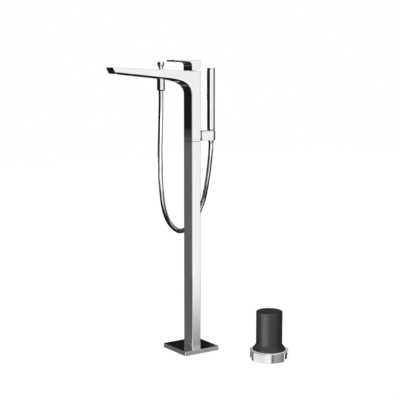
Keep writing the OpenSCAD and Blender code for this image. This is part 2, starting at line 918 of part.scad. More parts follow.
module handset_fitting() {
    d = handset_d;
    r = handset_edge_r;
    foot = [
        for (i = [0:6]) let (a = -90 + i * 15) [d / 2 - r + r * cos(a), handset_z + r + r * sin(a)]
    ];
    color(chrome) at_handset() difference() {
        union() {
            rotate_extrude() polygon(concat([[0, handset_z]], foot, [[d / 2, tube_z], [0, tube_z]]));
            post(thread_d - 2 * seat, spigot_end_z, handset_z + cut);
            post(tube_bore_d - 2 * running, tube_z - cut, joint_top);
        }
        post(washer_bore_d, spigot_end_z - cut, core_z + cut);
        post(core_d + 2 * running, core_z, joint_top + cut);
    }
}

module handset_core() {
    color(grey_plastic) at_handset() difference() {
        post(core_d, core_z + seat, tube_top - 2 * seat);
        post(core_d - 2 * core_wall, tube_z, tube_top - cap_plug_h);
        translate([-core_d / 5, -core_d, strip_z + 4]) cube([core_d / 2.5, core_d, strip_l - 8]);
    }
}

// A sector of a ring wall, centred on -Y
module strip_sector(d0, d1, angle, z0, z1) {
    translate([0, 0, z0]) rotate([0, 0, -90 - angle / 2])
        rotate_extrude(angle = angle) translate([d0 / 2, 0]) square([(d1 - d0) / 2, z1 - z0]);
}

module handset_tube() {
    color(chrome) at_handset() difference() {
        ring(handset_d, tube_bore_d, tube_z, tube_top);
        strip_sector(core_d, handset_d + 4, strip_angle, strip_z, strip_top);
    }
}

module nozzle_strip() {
    color(grey_plastic) at_handset() strip_sector(
        handset_d + 2 * strip_proud - 2 * strip_t, handset_d + 2 * strip_proud,
        strip_angle - 1, strip_z + seat, strip_top - seat
    );
}

module handset_cap() {
    color(chrome) at_handset() {
        post(handset_d, tube_top, handset_top - cap_edge);
        taper(handset_d, handset_d - 2 * cap_edge, handset_top - cap_edge, handset_top);
        ring(tube_bore_d - 2 * running, core_d + 2 * seat, tube_top - cap_plug_h, tube_top);
    }
}

// ---------------------------------------------------------------- holder

module holder_screw_hole() {
    rod_y(holder_screw_d + 2 * clear, screw_head_y - cut, back_y + cut, holder_screw_z);
}

module holder_neck() {
    color(chrome) difference() {
        translate([-neck_w / 2, back_y, holder_z + 1]) cube([neck_w, neck_l, holder_h - 2]);
        rod_y(holder_screw_d + 2 * clear, back_y - cut, neck_end_y + cut, holder_screw_z);
    }
}

module handset_holder() {
    color(chrome) difference() {
        union() {
            translate([-holder_w / 2, neck_end_y, holder_z])
                cube([holder_w, handset_y - neck_end_y, holder_h]);
            at_handset() post(holder_w, holder_z, holder_top);
        }
        at_handset() post(bush_d + 2 * running, holder_z - cut, holder_top + cut);
        rod_y(holder_screw_d + 2 * running, neck_end_y - cut, screw_end_y + seat, holder_screw_z);
    }
}

module holder_bush() {
    slope = (cone_top_d - cone_mid_d) / (handset_z - cone_mid_z);
    low_d = cone_mid_d + slope * (holder_z - cone_mid_z) + 2 * clear;
    high_d = cone_mid_d + slope * (holder_top - cone_mid_z) + 2 * clear;
    color(black_plastic) at_handset() difference() {
        post(bush_d, holder_z + seat, holder_top - seat);
        taper(low_d, high_d, holder_z, holder_top);
    }
}

module holder_screw() {
    color(steel) {
        rod_y(screw_head_d, screw_head_y - screw_head_h, screw_head_y, holder_screw_z);
        rod_y(holder_screw_d, screw_head_y, screw_end_y, holder_screw_z);
    }
}

// ---------------------------------------------------------------- floor unit

module at_port(i) {
    rotate([0, 0, port_angles[i]]) translate([0, 0, port_z]) children();
}

module rod_x(d, x0, x1) {
    translate([x0, 0, 0]) rotate([0, 90, 0]) cylinder(d = d, h = x1 - x0);
}

module floor_unit_ring() {
    color(steel) at_floor_unit() difference() {
        post(ring_d, 0, ring_h);
        post(well_d, web_h, ring_h + cut);
        for (i = [0, 1]) at_port(i) {
            translate([port_face, -ring_d / 2, -port_z - cut])
                cube([ring_d, ring_d, ring_h + 2 * cut]);
            rod_x(port_d, port_face - port_depth, port_face + cut);
            rod_x(elbow_d + 2 * running, well_d / 2 - cut, port_face - port_depth + cut);
        }
        for (k = [0:3]) {
            rotate([0, 0, hole_turn + 90 * k]) translate([unit_pcd / 2, 0, 0])
                post(unit_hole_d, -cut, web_h + cut);
        }
    }
}

module floor_unit_stubs() {
    color(brass) at_floor_unit() for (i = [0, 1]) difference() {
        union() {
            at_port(i) rod_x(elbow_d, stub_r, elbow_end);
            rotate([0, 0, port_angles[i]]) translate([stub_r, 0, 0]) {
                post(elbow_d, port_z - elbow_d / 2, port_z + elbow_d / 2 + 2);
                post(stub_d, port_z, stub_top_z);
            }
        }
        at_port(i) rod_x(stub_bore_d, stub_r, elbow_end + cut);
        rotate([0, 0, port_angles[i]]) translate([stub_r, 0, 0]) {
            post(stub_bore_d, port_z, stub_top_z + cut);
            for (z = o_ring_z) ring(stub_d + 1, stub_d - 1.9, z - 1.1, z + 1.1);
        }
    }
}

module floor_unit_seals() {
    color(rubber) at_floor_unit() for (i = [0, 1], z = o_ring_z) {
        rotate([0, 0, port_angles[i]]) translate([stub_r, 0, z])
            rotate_extrude() translate([o_ring_path_d / 2, 0]) circle(d = o_ring_d, $fn = 24);
    }
}

module floor_unit_cap() {
    r = cap_d / 2;
    foot_r = cap_foot_d / 2;
    flare_z = cap_z + cap_flare_h;
    edge = [
        for (i = [0:5]) let (a = i * 18)
            [r - cap_edge_r + cap_edge_r * cos(a), cap_top_z - cap_edge_r + cap_edge_r * sin(a)]
    ];
    color(black_plastic) at_floor_unit() rotate_extrude() polygon(concat(
        [[r - cap_wall, cap_z], [foot_r, cap_z], [foot_r, cap_z + 2], [r + 3, flare_z - 5]],
        [[r, flare_z]],
        edge,
        [[0, cap_top_z], [0, cap_top_z - cap_wall], [r - cap_wall, cap_top_z - cap_wall]]
    ));
}

// ---------------------------------------------------------------- nodes

base_cover_plate();
floor_flange();
column_spigot();
floor_gasket();
inlet_sockets();
hot_supply_pipe();
cold_supply_pipe();
column_tube();
column_sleeve();
column_set_screws();
spout_body();
outlet_insert();
cartridge_seal();
mixing_cartridge();
cartridge_nut();
cartridge_carrier();
lever_pin();
lever_stem();
lever_handle();
handle_grub_screw();
handle_screw_plug();
diverter_bushing();
diverter_spindle();
diverter_seal();
diverter_knob();
shower_outlet();
check_valve();
outlet_washer();
hose_top_ferrule();
hose_nut();
shower_hose();
hose_swivel_ferrule();
hose_cone_nut();
handset_washer();
handset_fitting();
handset_core();
handset_tube();
nozzle_strip();
handset_cap();
holder_neck();
handset_holder();
holder_bush();
holder_screw();
floor_unit_ring();
floor_unit_stubs();
floor_unit_seals();
floor_unit_cap();
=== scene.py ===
"""Looks of a floor standing bath filler with its floor unit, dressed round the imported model.

Metres, +Z up, +Y behind the column, the spout along -Y. Sizes that the frame holds are read from it.
"""

import json
from math import acos, asin, atan2, cos, hypot, pi, radians, sin, tan

import bmesh
import bpy
from mathutils import Matrix, Vector

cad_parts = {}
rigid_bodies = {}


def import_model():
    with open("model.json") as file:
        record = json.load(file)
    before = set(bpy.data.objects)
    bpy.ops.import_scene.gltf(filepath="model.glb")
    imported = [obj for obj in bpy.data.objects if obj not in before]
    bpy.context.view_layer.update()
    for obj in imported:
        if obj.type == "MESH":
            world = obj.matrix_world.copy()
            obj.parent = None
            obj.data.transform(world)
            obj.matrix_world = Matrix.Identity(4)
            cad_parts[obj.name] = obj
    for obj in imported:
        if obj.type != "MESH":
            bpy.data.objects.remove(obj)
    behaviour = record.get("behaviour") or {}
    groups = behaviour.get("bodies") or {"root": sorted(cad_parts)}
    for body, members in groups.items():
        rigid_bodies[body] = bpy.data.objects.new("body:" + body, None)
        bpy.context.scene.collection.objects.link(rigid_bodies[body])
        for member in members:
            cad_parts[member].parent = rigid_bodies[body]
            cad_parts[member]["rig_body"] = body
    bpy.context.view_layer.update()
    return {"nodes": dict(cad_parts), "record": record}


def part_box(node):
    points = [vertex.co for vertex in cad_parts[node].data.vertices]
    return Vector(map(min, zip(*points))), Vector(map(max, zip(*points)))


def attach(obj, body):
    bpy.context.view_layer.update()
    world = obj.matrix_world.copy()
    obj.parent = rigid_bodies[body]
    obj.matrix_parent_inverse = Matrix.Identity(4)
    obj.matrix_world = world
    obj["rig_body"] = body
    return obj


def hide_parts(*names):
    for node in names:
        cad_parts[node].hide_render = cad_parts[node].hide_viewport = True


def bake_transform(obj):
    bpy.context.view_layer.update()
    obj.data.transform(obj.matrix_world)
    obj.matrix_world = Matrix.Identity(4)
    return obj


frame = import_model()

MM = 0.001
ROUND = 96                  # segments round a turned piece
MERGE = 1e-6                # vertices of the frame closer than this are one
SEAM_SLACK = 3e-6           # how far off its seam a turned node's point may lie
FLATNESS = radians(0.4)     # faces that turn less than this are one flat face
IDLE_TURN = radians(1)      # an outline's point that turns less than this is left out
LEAST_TURN = radians(20)    # corners that turn less than this aren't rounded
SMOOTH_ANGLE = radians(32)  # edges that turn more than this stay sharp


def middle(node):
    low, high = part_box(node)
    return (low + high) / 2


def put(name, data):
    """A new object at the origin, in the scene."""
    made = bpy.data.objects.new(name, data)
    bpy.context.scene.collection.objects.link(made)
    return made


# ---- shader helpers

WANDER = (0.3, 0.7)         # the part of a noise over which a colour or a gloss varies


def add(tree, kind, inputs=(), **settings):
    """A new node. Inputs are socket: value or linked output, settings are the node's own choices."""
    made = tree.nodes.new(kind)
    for name, value in settings.items():
        setattr(made, name, value)
    for socket, value in dict(inputs).items():
        if isinstance(value, bpy.types.NodeSocket):
            tree.links.new(value, made.inputs[socket])
        else:
            made.inputs[socket].default_value = value
    return made


def math_node(tree, operation, *values):
    return add(tree, "ShaderNodeMath", enumerate(values), operation=operation).outputs[0]


def vector_node(tree, operation, *values):
    return add(tree, "ShaderNodeVectorMath", enumerate(values), operation=operation).outputs


def grey(value):
    return (value, value, value, 1)


def ramp(tree, factor, stops):
    """A colour ramp, from (position, colour) stops."""
    made = add(tree, "ShaderNodeValToRGB", {"Fac": factor})
    elements = made.color_ramp.elements
    while len(elements) < len(stops):
        elements.new(0.5)
    for element, (position, colour) in zip(elements, stops):
        element.position = position
        element.color = colour
    return made.outputs["Color"]


def between(tree, value, low, high, to_low=0.0, to_high=1.0, kind="LINEAR"):
    """The value's range low..high spread over to_low..to_high."""
    made = add(
        tree, "ShaderNodeMapRange",
        {"Value": value, "From Min": low, "From Max": high, "To Min": to_low, "To Max": to_high},
        interpolation_type=kind,
    )
    return made.outputs["Result"]


def mix_colour(tree, factor, a, b):
    return add(tree, "ShaderNodeMix", {0: factor, 6: a, 7: b}, data_type="RGBA").outputs[2]


def bare_material(name):
    """A new material and its node tree, still empty."""
    material = bpy.data.materials.new(name)
    material.use_nodes = True
    material.node_tree.nodes.clear()
    return material, material.node_tree


# ---- camera, floor and light

CAMERA_PLACE = (2.4974, -1.6805, 0.8699)
CAMERA_DIP = 7.53           # degrees below the horizon
CAMERA_TURN = 55.526        # degrees from looking along +Y, anticlockwise
CAMERA_LENS = 88.46         # in millimetres, on a sensor 36 mm wide


def make_camera():
    data = bpy.data.cameras.new("camera")
    data.sensor_width = 36
    data.lens = CAMERA_LENS
    data.clip_end = 50
    camera = put("camera", data)
    camera.location = CAMERA_PLACE
    camera.rotation_euler = (radians(90 - CAMERA_DIP), 0, radians(CAMERA_TURN))
    bpy.context.scene.camera = camera


BLACK, BRIGHT = 0.012, 1.05  # a dark wall, and a soft box a little over white

# What polished metal sees round it. Each band starts to show at one elevation and has taken over at the
# next, in degrees, and its stops are (compass degrees, brightness): +X is 0 and +Y is 90.
SKY = [(-180, BLACK), (-54, BLACK), (-45, BRIGHT), (38, BRIGHT), (45, 0.09), (116, 0.1), (126, BLACK)]
ABOVE = [
    (-180, BLACK), (-164, BLACK), (-158, 0.14), (-136, 0.14), (-130, BLACK), (-67, BLACK),
    (-57, BRIGHT), (20, BRIGHT), (27, 0.6), (41, 0.6), (46, 0.09), (116, 0.1), (126, BLACK),
]
RING_TOP_PANEL = [(134, BLACK), (137, 0.75), (143.1, 0.75), (144, BLACK)]    # for the ring's top edge
BELOW = [(-180, BLACK), (-68, BLACK), (-56, 1.0), (4, 1.0), (16, 0.02)]
BANDS = [
    ((9, 13), ABOVE),
    ((14, 15), ABOVE + RING_TOP_PANEL),
    ((18, 19), ABOVE),
    ((-3.2, -4.6), [
        (-180, BLACK), (-160, BLACK), (-154, 0.135), (-138, 0.135), (-132, BLACK), (-54, BLACK),
        (-45, BRIGHT), (38, BRIGHT), (45, BLACK), (180, BLACK),
    ]),
    ((-12.0, -16.4), [
        (-180, BLACK), (-160, BLACK), (-154, 0.135), (-140, 0.14), (-134, BLACK), (-67, BLACK),
        (-57, BRIGHT), (-30, BRIGHT), (-8, 0.45), (40, 0.34), (52, 0.2), (62, BLACK), (180, BLACK),
    ]),
    ((-15.5, -16.0), [
        (-180, 0.45), (-170, 0.02), (-164, 0.135), (-146, 0.14), (-139, BRIGHT), (-30, BRIGHT),
        (-20, 0.09), (-12, 0.12), (-5, 0.4), (40, 0.34), (52, 0.2), (62, BLACK), (86, BLACK),
        (93, BRIGHT), (108, BRIGHT), (118, 0.6), (176, 0.6),
    ]),
    ((-17.4, -18.6), BELOW + [(180, BLACK)]),
    ((-27, -29.5), BELOW + [(156, BLACK), (164, 0.12), (171, 0.12), (177, BLACK)]),
    ((-36, -44), [(-180, BLACK), (180, BLACK)]),
]
OVERHEAD = (48, 62)         # a large soft box hangs over the object, from these elevations up
OVERHEAD_GREY = 0.85
FILL_GREY = 0.62            # the even light on everything that isn't polished


def compass_band(tree, turn, stops):
    return ramp(tree, turn, [((angle + 180) / 360, grey(tone)) for angle, tone in stops])


def make_world():
    """White behind the object, dark and bright panels for the polished metal, even light for the rest."""
    world = bpy.data.worlds.new("studio")
    bpy.context.scene.world = world
    world.use_nodes = True
    world.cycles.sampling_method = "NONE"
    tree = world.node_tree
    tree.nodes.clear()
    towards = add(tree, "ShaderNodeTexCoord").outputs["Generated"]
    part = add(tree, "ShaderNodeSeparateXYZ", {"Vector": towards}).outputs
    compass = math_node(tree, "ARCTAN2", part["Y"], part["X"])
    turn = between(tree, compass, -pi, pi)
    height = math_node(tree, "DEGREES", math_node(tree, "ARCSINE", part["Z"]))
    seen = compass_band(tree, turn, SKY)
    for ends, stops in BANDS:
        reached = between(tree, height, *ends, kind="SMOOTHSTEP")
        seen = mix_colour(tree, reached, seen, compass_band(tree, turn, stops))
    seen = mix_colour(
        tree, between(tree, height, *OVERHEAD, kind="SMOOTHSTEP"), seen, grey(OVERHEAD_GREY)
    )
    ray = add(tree, "ShaderNodeLightPath").outputs
    polished = math_node(tree, "MAXIMUM", ray["Is Glossy Ray"], ray["Is Transmission Ray"])
    colour = mix_colour(tree, polished, grey(FILL_GREY), seen)
    colour = mix_colour(tree, ray["Is Camera Ray"], colour, grey(1.0))
    background = add(tree, "ShaderNodeBackground", {"Color": colour, "Strength": 1.0})
    add(tree, "ShaderNodeOutputWorld", {"Surface": background.outputs[0]})


def sheet(name, corners, material):
    """A sheet of the stage, flat between its four corners."""
    mesh = bpy.data.meshes.new(name)
    mesh.from_pydata(corners, [], [(0, 1, 2, 3)])
    mesh.materials.append(material)
    return put(name, mesh)


# Dark cards: name, place, size, and the compass direction in which the metal that sees one looks at it.
CARDS = [
    # keeps the curve under the arm black
    ("arm_card", (-0.302, -0.204, 0.738), (0.13, 0.135), -147.5),
    # stands for the column's back, as the hose and the handset see it
    ("back_card", (0.0, 0.0225, 0.6), (0.048, 0.6), -90),
]


def make_card(name, place, size, compass):
    """A small dark card that only polished metal on one side of it sees."""
    material, tree = bare_material(name + "_black")
    dark = add(tree, "ShaderNodeEmission", {"Color": grey(BLACK), "Strength": 1.0}).outputs[0]
    clear = add(tree, "ShaderNodeBsdfTransparent").outputs[0]
    behind = add(tree, "ShaderNodeNewGeometry").outputs["Backfacing"]
    seen = add(tree, "ShaderNodeMixShader", {0: behind, 1: clear, 2: dark}).outputs[0]
    add(tree, "ShaderNodeOutputMaterial", {"Surface": seen})
    turn = radians(compass + 90)
    across = Vector((cos(turn), sin(turn), 0)) * size[0] / 2
    up = Vector((0, 0, size[1] / 2))
    centre = Vector(place)
    low, high = centre - up, centre + up
    card = sheet(name, [low - across, low + across, high + across, high - across], material)
    card.visible_camera = False
    card.visible_diffuse = False
    card.visible_shadow = False


def area_lamp(name, shape, size, watts, place, target):
    data = bpy.data.lights.new(name, "AREA")
    data.shape = shape
    data.size, data.size_y = size
    data.energy = watts
    lamp = put(name, data)
    lamp.location = place
    lamp.rotation_euler = (target - Vector(place)).to_track_quat("-Z", "Y").to_euler()
    return lamp


# Soft lamps: (name, place, size, watts). Each points at the middle of the column.
LAMPS = [
    ("key_lamp", (-0.4, -3.4, 2.6), 1.6, 62.0),
    ("side_lamp", (3.2, 0.4, 1.6), 1.4, 30.0),
    ("top_lamp", (0.4, 0.2, 3.4), 1.8, 34.0),
]
LAMP_TARGET = Vector((0.05, 0.0, 0.4))


def make_lamps():
    for name, place, size, watts in LAMPS:
        area_lamp(name, "DISK", (size, size), watts, place, LAMP_TARGET).visible_glossy = False


# Panels that light only some pieces: their compass direction and distance from what they point at,
# their size and their watts.
CAP_LAMP = (-79, 1.2, (1.25, 1.7), 24.0)
HOSE_LAMP = (-20, 1.3, (1.1, 0.75), 2.6)
HOSE_LAMP_HEIGHT = 0.36
TUBE_LAMP = (-57, 1.3, (0.42, 0.6), 0.83)
FLAT_LAMPS = {
    "front_lamp": (-91, 0.95, (0.55, 1.25), 1.7),
    "back_lamp": (89, 0.95, (0.7, 1.25), 2.1),
    "left_lamp": (180, 1.2, (0.6, 0.92), 1.3),
}
FLAT_LAMP_TOP = 1.28        # the height of their upper edges
COVE_LAMP = (180, 1.2, (0.5, 0.13), 0.03)
COVE_LAMP_HEIGHT = 0.19


def panel_lamp(name, pieces, target, compass, away, size, watts):
    """An upright panel of light that only the given pieces are lit by and mirror."""
    turn = radians(compass)
    place = target + Vector((cos(turn), sin(turn), 0)) * away
    lamp = area_lamp(name, "RECTANGLE", size, watts, place, target)
    lit = bpy.data.collections.new(name + "_lights")
    for piece in pieces:
        lit.objects.link(piece)
    lamp.light_linking.receiver_collection = lit


FLOOR_HALF = 6.0
SHADOW_SHARE = 0.16         # how much of the floor's white comes from the light that falls on it
SHADOW_REACH = (0.25, 0.75)  # metres from the middle over which that share fades away
FLOOR_GLOW = 1.06
FLOOR_GREY = 0.9


def make_floor():
    """A pale floor that stays white for the camera and keeps a faint shadow round the object."""
    material, tree = bare_material("pale_floor")
    place = add(tree, "ShaderNodeTexCoord").outputs["Object"]
    away = vector_node(tree, "LENGTH", place)["Value"]
    plain = between(tree, away, *SHADOW_REACH, 1 - SHADOW_SHARE, 1.0, kind="SMOOTHSTEP")
    lit = add(tree, "ShaderNodeBsdfDiffuse", {"Color": grey(FLOOR_GREY)}).outputs[0]
    white = add(tree, "ShaderNodeEmission", {"Color": grey(1.0), "Strength": FLOOR_GLOW}).outputs[0]
    seen = add(tree, "ShaderNodeMixShader", {0: plain, 1: lit, 2: white}).outputs[0]
    ray = add(tree, "ShaderNodeLightPath").outputs["Is Camera Ray"]
    shown = add(tree, "ShaderNodeMixShader", {0: ray, 1: lit, 2: seen}).outputs[0]
    add(tree, "ShaderNodeOutputMaterial", {"Surface": shown})
    edge = FLOOR_HALF
    corners = [(-edge, -edge, 0), (edge, -edge, 0), (edge, edge, 0), (-edge, edge, 0)]
    floor_object = sheet("floor", corners, material)
    floor_object.visible_glossy = False


# ---- materials

def finish_shader(name, **values):
    """A material with a Principled shader; the values go on the shader's own sockets."""
    material, tree = bare_material(name)
    shader = add(tree, "ShaderNodeBsdfPrincipled", values)
    add(tree, "ShaderNodeOutputMaterial", {"Surface": shader.outputs[0]})
    place = add(tree, "ShaderNodeTexCoord").outputs["Object"]
    return material, tree, shader, place


def stretched(tree, place, scale):
    return add(tree, "ShaderNodeMapping", {"Vector": place, "Scale": scale}).outputs["Vector"]


def noise(tree, place, scale, detail=3.0, roughness=0.5):
    made = add(
        tree, "ShaderNodeTexNoise",
        {"Vector": place, "Scale": scale, "Detail": detail, "Roughness": roughness},
    )
    return made.outputs["Fac"]


def tinted(tree, shader, factor, dark, light):
    """Colour that wanders between two shades."""
    colour = ramp(tree, factor, [(WANDER[0], (*dark, 1)), (WANDER[1], (*light, 1))])
    tree.links.new(colour, shader.inputs["Base Color"])


def roughened(tree, shader, factor, low, high):
    tree.links.new(between(tree, factor, *WANDER, low, high), shader.inputs["Roughness"])


def bumped(tree, shader, height, depth):
    made = add(tree, "ShaderNodeBump", {"Height": height, "Distance": depth, "Strength": 1.0})
    tree.links.new(made.outputs["Normal"], shader.inputs["Normal"])


def polished_chrome():
    """Bright plating: nearly a mirror, with faint wipe marks and a trace of waviness."""
    material, tree, shader, place = finish_shader("polished_chrome", Metallic=1.0)
    wipes = noise(tree, stretched(tree, place, (1, 1, 0.35)), 55, 4)
    tinted(tree, shader, noise(tree, place, 9, 2), (0.80, 0.81, 0.825), (0.83, 0.835, 0.84))
    roughened(tree, shader, wipes, 0.035, 0.075)
    bumped(tree, shader, noise(tree, place, 38, 1), 0.00002)
    return material


PORT_SPAN = (42.6 * MM, 55.2 * MM)  # where the ring's ports lie, from its axis
PORT_TOP = 25 * MM
# how dark the painted shade inside the ports is
PORT_SHADE_GREY = 0.015


def satin_ring_metal():
    """Fine turned metal with a soft sheen, and painted shade inside its side ports."""
    material, tree, shader, place = finish_shader("satin_ring_metal", Metallic=1.0)
    lines = noise(tree, stretched(tree, place, (0.2, 0.2, 9)), 420, 2)
    tinted(tree, shader, noise(tree, place, 25, 3), (0.78, 0.785, 0.79), (0.84, 0.84, 0.84))
    roughened(tree, shader, lines, 0.05, 0.09)
    bumped(tree, shader, lines, 0.000004)
    axis = middle("floor_unit_cap")
    offset = vector_node(tree, "SUBTRACT", place, (axis.x, axis.y, 0))[0]
    level = add(tree, "ShaderNodeSeparateXYZ", {0: offset}).outputs["Z"]
    away = vector_node(tree, "LENGTH", vector_node(tree, "MULTIPLY", offset, (1, 1, 0))[0])["Value"]
    # painted shade: the ports' bores are coloured nearly black, as if in their own shadow
    inside = math_node(
        tree, "MULTIPLY", math_node(tree, "GREATER_THAN", away, PORT_SPAN[0]),
        math_node(tree, "LESS_THAN", away, PORT_SPAN[1]),
    )
    in_port = math_node(tree, "MULTIPLY", inside, math_node(tree, "LESS_THAN", level, PORT_TOP))
    plain = shader.inputs["Base Color"].links[0].from_socket
    colour = mix_colour(tree, in_port, plain, grey(PORT_SHADE_GREY))
    tree.links.new(colour, shader.inputs["Base Color"])
    return material


def hose_plating():
    """Plated metal winding, bright on its ribs, with painted shade down in the grooves between them."""
    material, tree, shader, place = finish_shader("hose_plating", Metallic=1.0)
    crest = add(tree, "ShaderNodeAttribute", attribute_name="rib").outputs["Fac"]
    # painted shade: the grooves' colour is nearly black, the crests' colour bright
    colour = ramp(tree, crest, [(0.0, grey(0.04)), (0.9, grey(0.05)), (1.0, grey(0.84))])
    tree.links.new(colour, shader.inputs["Base Color"])
    roughened(tree, shader, noise(tree, place, 160, 3), 0.05, 0.09)
    return material


def brushed_steel():
    material, tree, shader, place = finish_shader("brushed_steel", Metallic=1.0)
    lines = noise(tree, stretched(tree, place, (1, 1, 14)), 260, 3)
    tinted(tree, shader, lines, (0.52, 0.53, 0.55), (0.68, 0.69, 0.70))
    roughened(tree, shader, lines, 0.24, 0.38)
    bumped(tree, shader, lines, 0.00002)
    return material


def cast_brass():
    material, tree, shader, place = finish_shader("cast_brass", Metallic=1.0)
    patches = noise(tree, place, 70, 4)
    tinted(tree, shader, patches, (0.60, 0.43, 0.18), (0.80, 0.61, 0.30))
    roughened(tree, shader, patches, 0.22, 0.42)
    bumped(tree, shader, noise(tree, place, 900, 2), 0.00003)
    return material


def grained(name, dark, light, roughness, grain_scale, grain_depth, specular=0.5):
    """Moulded plastic or rubber: a fine grain, and a colour that varies a little."""
    material, tree, shader, place = finish_shader(name, **{"Specular IOR Level": specular})
    grain = noise(tree, place, grain_scale, 3, 0.6)
    tinted(tree, shader, noise(tree, place, 40, 3), dark, light)
    roughened(tree, shader, grain, *roughness)
    bumped(tree, shader, grain, grain_depth)
    return material


# Moulded pieces by slot: name, darker and lighter shade, roughness, grain's size and depth, gloss.
MOULDED = {
    "rubber": ("seal_rubber", (0.016, 0.016, 0.016), (0.030, 0.030, 0.029), (0.62, 0.8), 1100, 0.00006, 0.35),
    "silicone": ("spray_silicone", (0.014, 0.014, 0.015), (0.022, 0.022, 0.024), (0.38, 0.5), 1800, 0.00003),
    "grey_plastic": ("grey_plastic", (0.30, 0.31, 0.32), (0.37, 0.38, 0.39), (0.38, 0.52), 1300, 0.00004),
    "black_plastic": (
        "black_plastic", (0.018, 0.018, 0.019), (0.027, 0.027, 0.028), (0.36, 0.5), 1500, 0.00004
    ),
    "cap_plastic": (
        "cap_plastic", (0.011, 0.011, 0.012), (0.015, 0.015, 0.016), (0.40, 0.46), 1500, 0.00003
    ),
}
FINISHES = {
    "chrome": polished_chrome(),
    "hose_metal": hose_plating(),
    "ring_metal": satin_ring_metal(),
    "steel": brushed_steel(),
    "brass": cast_brass(),
    **{slot: grained(*values) for slot, values in MOULDED.items()},
}


# ---- mesh helpers

def body_of(node):
    return frame["nodes"][node]["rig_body"]


def slot_of(node):
    """The record's material slot of a node, which the frame's own material is named after."""
    return frame["nodes"][node].data.materials[0].name.split(".")[0]


def shade(bm, rounded=(), limit=SMOOTH_ANGLE):
    """Smooth faces, sharp where they turn more than the limit, apart from edges still to be rounded."""
    for face in bm.faces:
        face.smooth = True
    for edge in bm.edges:
        edge.smooth = edge in rounded or edge.calc_face_angle(pi) < limit


def face_outwards(bm):
    bmesh.ops.recalc_face_normals(bm, faces=bm.faces)


def as_object(name, bm):
    """Ends the work on a mesh: a new object that holds it."""
    mesh = bpy.data.meshes.new(name)
    bm.to_mesh(mesh)
    bm.free()
    return put(name, mesh)


def plain_mesh(thing):
    """The mesh that an object's modifiers make, and the mesh alone."""
    depsgraph = bpy.context.evaluated_depsgraph_get()
    return bpy.data.meshes.new_from_object(thing.evaluated_get(depsgraph), depsgraph=depsgraph)


def opened(mesh):
    bm = bmesh.new()
    bm.from_mesh(mesh)
    return bm


def merged_copy(node):
    """A copy of a node's mesh, whose loose triangles are joined."""
    bm = opened(frame["nodes"][node].data)
    bmesh.ops.remove_doubles(bm, verts=bm.verts, dist=MERGE)
    return bm


def place_piece(name, bm, node, rounded=(), limit=SMOOTH_ANGLE):
    """Makes the piece that stands for a node, with its finish, on the body that carries it."""
    shade(bm, rounded, limit)
    slot = slot_of(node)
    piece = as_object(name, bm)
    piece.data.materials.append(FINISHES[slot])
    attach(piece, body_of(node))
    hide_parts(node)
    return piece


def rounded_shell(name, node, radius_of, steps=4, tidy=None):
    """A node's own shape with rounded edges. radius_of(edge) gives each sharp edge's radius, or 0.

    tidy works on the merged mesh before its flat faces are made whole again.
    """
    bm = merged_copy(node)
    if tidy:
        tidy(bm)
    bmesh.ops.dissolve_limit(bm, angle_limit=FLATNESS, verts=bm.verts, edges=bm.edges)
    weights = bm.edges.layers.float.new("bevel_weight_edge")
    radii = {}
    for edge in bm.edges:
        if len(edge.link_faces) == 2 and edge.calc_face_angle(0) > LEAST_TURN:
            radius = radius_of(edge)
            if radius:
                radii[edge] = radius
    widest = max(radii.values())
    for edge, radius in radii.items():
        edge[weights] = radius / widest
    piece = place_piece(name, bm, node, rounded=radii)
    rounding = piece.modifiers.new("rounded_edges", "BEVEL")
    rounding.limit_method = "WEIGHT"
    rounding.width = widest
    rounding.segments = steps
    rounding.use_clamp_overlap = False
    return keep_flat(piece)


def keep_flat(piece):
    """Wide faces keep their own shading beside the narrow ones that round their edges."""
    flat_faces = piece.modifiers.new("flat_faces_stay_flat", "WEIGHTED_NORMAL")
    flat_faces.keep_sharp = True
    return piece


def axis_of(node):
    """Where the upright axis of a turned node stands."""
    centre = middle(node)
    return Vector((centre.x, centre.y))


def seam_outlines(node, axis):
    """Closed outlines of (radius, height) of a turned node, read along its seam at +X from the axis.

    Where a level has loose ends in an odd number, the outline runs on to the axis.
    """
    bm = merged_copy(node)
    spots = {
        v: Vector((v.co.x - axis.x, v.co.z)) for v in bm.verts
        if abs(v.co.y - axis.y) < SEAM_SLACK and v.co.x - axis.x > SEAM_SLACK
    }
    links = {v: set() for v in spots}

    def join(a, b):
        links[a].add(b)
        links[b].add(a)

    for edge in bm.edges:
        if edge.verts[0] in spots and edge.verts[1] in spots:
            join(*edge.verts)
    levels = {}
    for v in [v for v in links if len(links[v]) == 1]:
        levels.setdefault(round(spots[v].y, 5), []).append(v)
    centres = []
    for height, loose in sorted(levels.items()):
        loose.sort(key=lambda v: spots[v].x)
        if len(loose) % 2:
            centre = bm.verts.new((axis.x, axis.y, height))
            spots[centre] = Vector((0, height))
            links[centre] = set()
            centres.append(centre)
            loose.insert(0, centre)
        for a, b in zip(loose[::2], loose[1::2]):
            join(a, b)
    for a, b in zip(centres[::2], centres[1::2]):
        join(a, b)
    outlines, left = [], list(links)
    while left:
        at, outline = left[0], []
        while at:
            left.remove(at)
            outline.append(spots[at].copy())
            at = next((v for v in links[at] if v in left), None)
        outlines.append(outline)
    bm.free()
    return outlines


def turn_at(before, at, after):
    a, b = at - before, after - at
    return a.angle(b) if a.length > 1e-9 and b.length > 1e-9 else 0.0


def profile(*points):
    """A closed outline from its corners as (radius, height)."""
    return [Vector(point) for point in points]


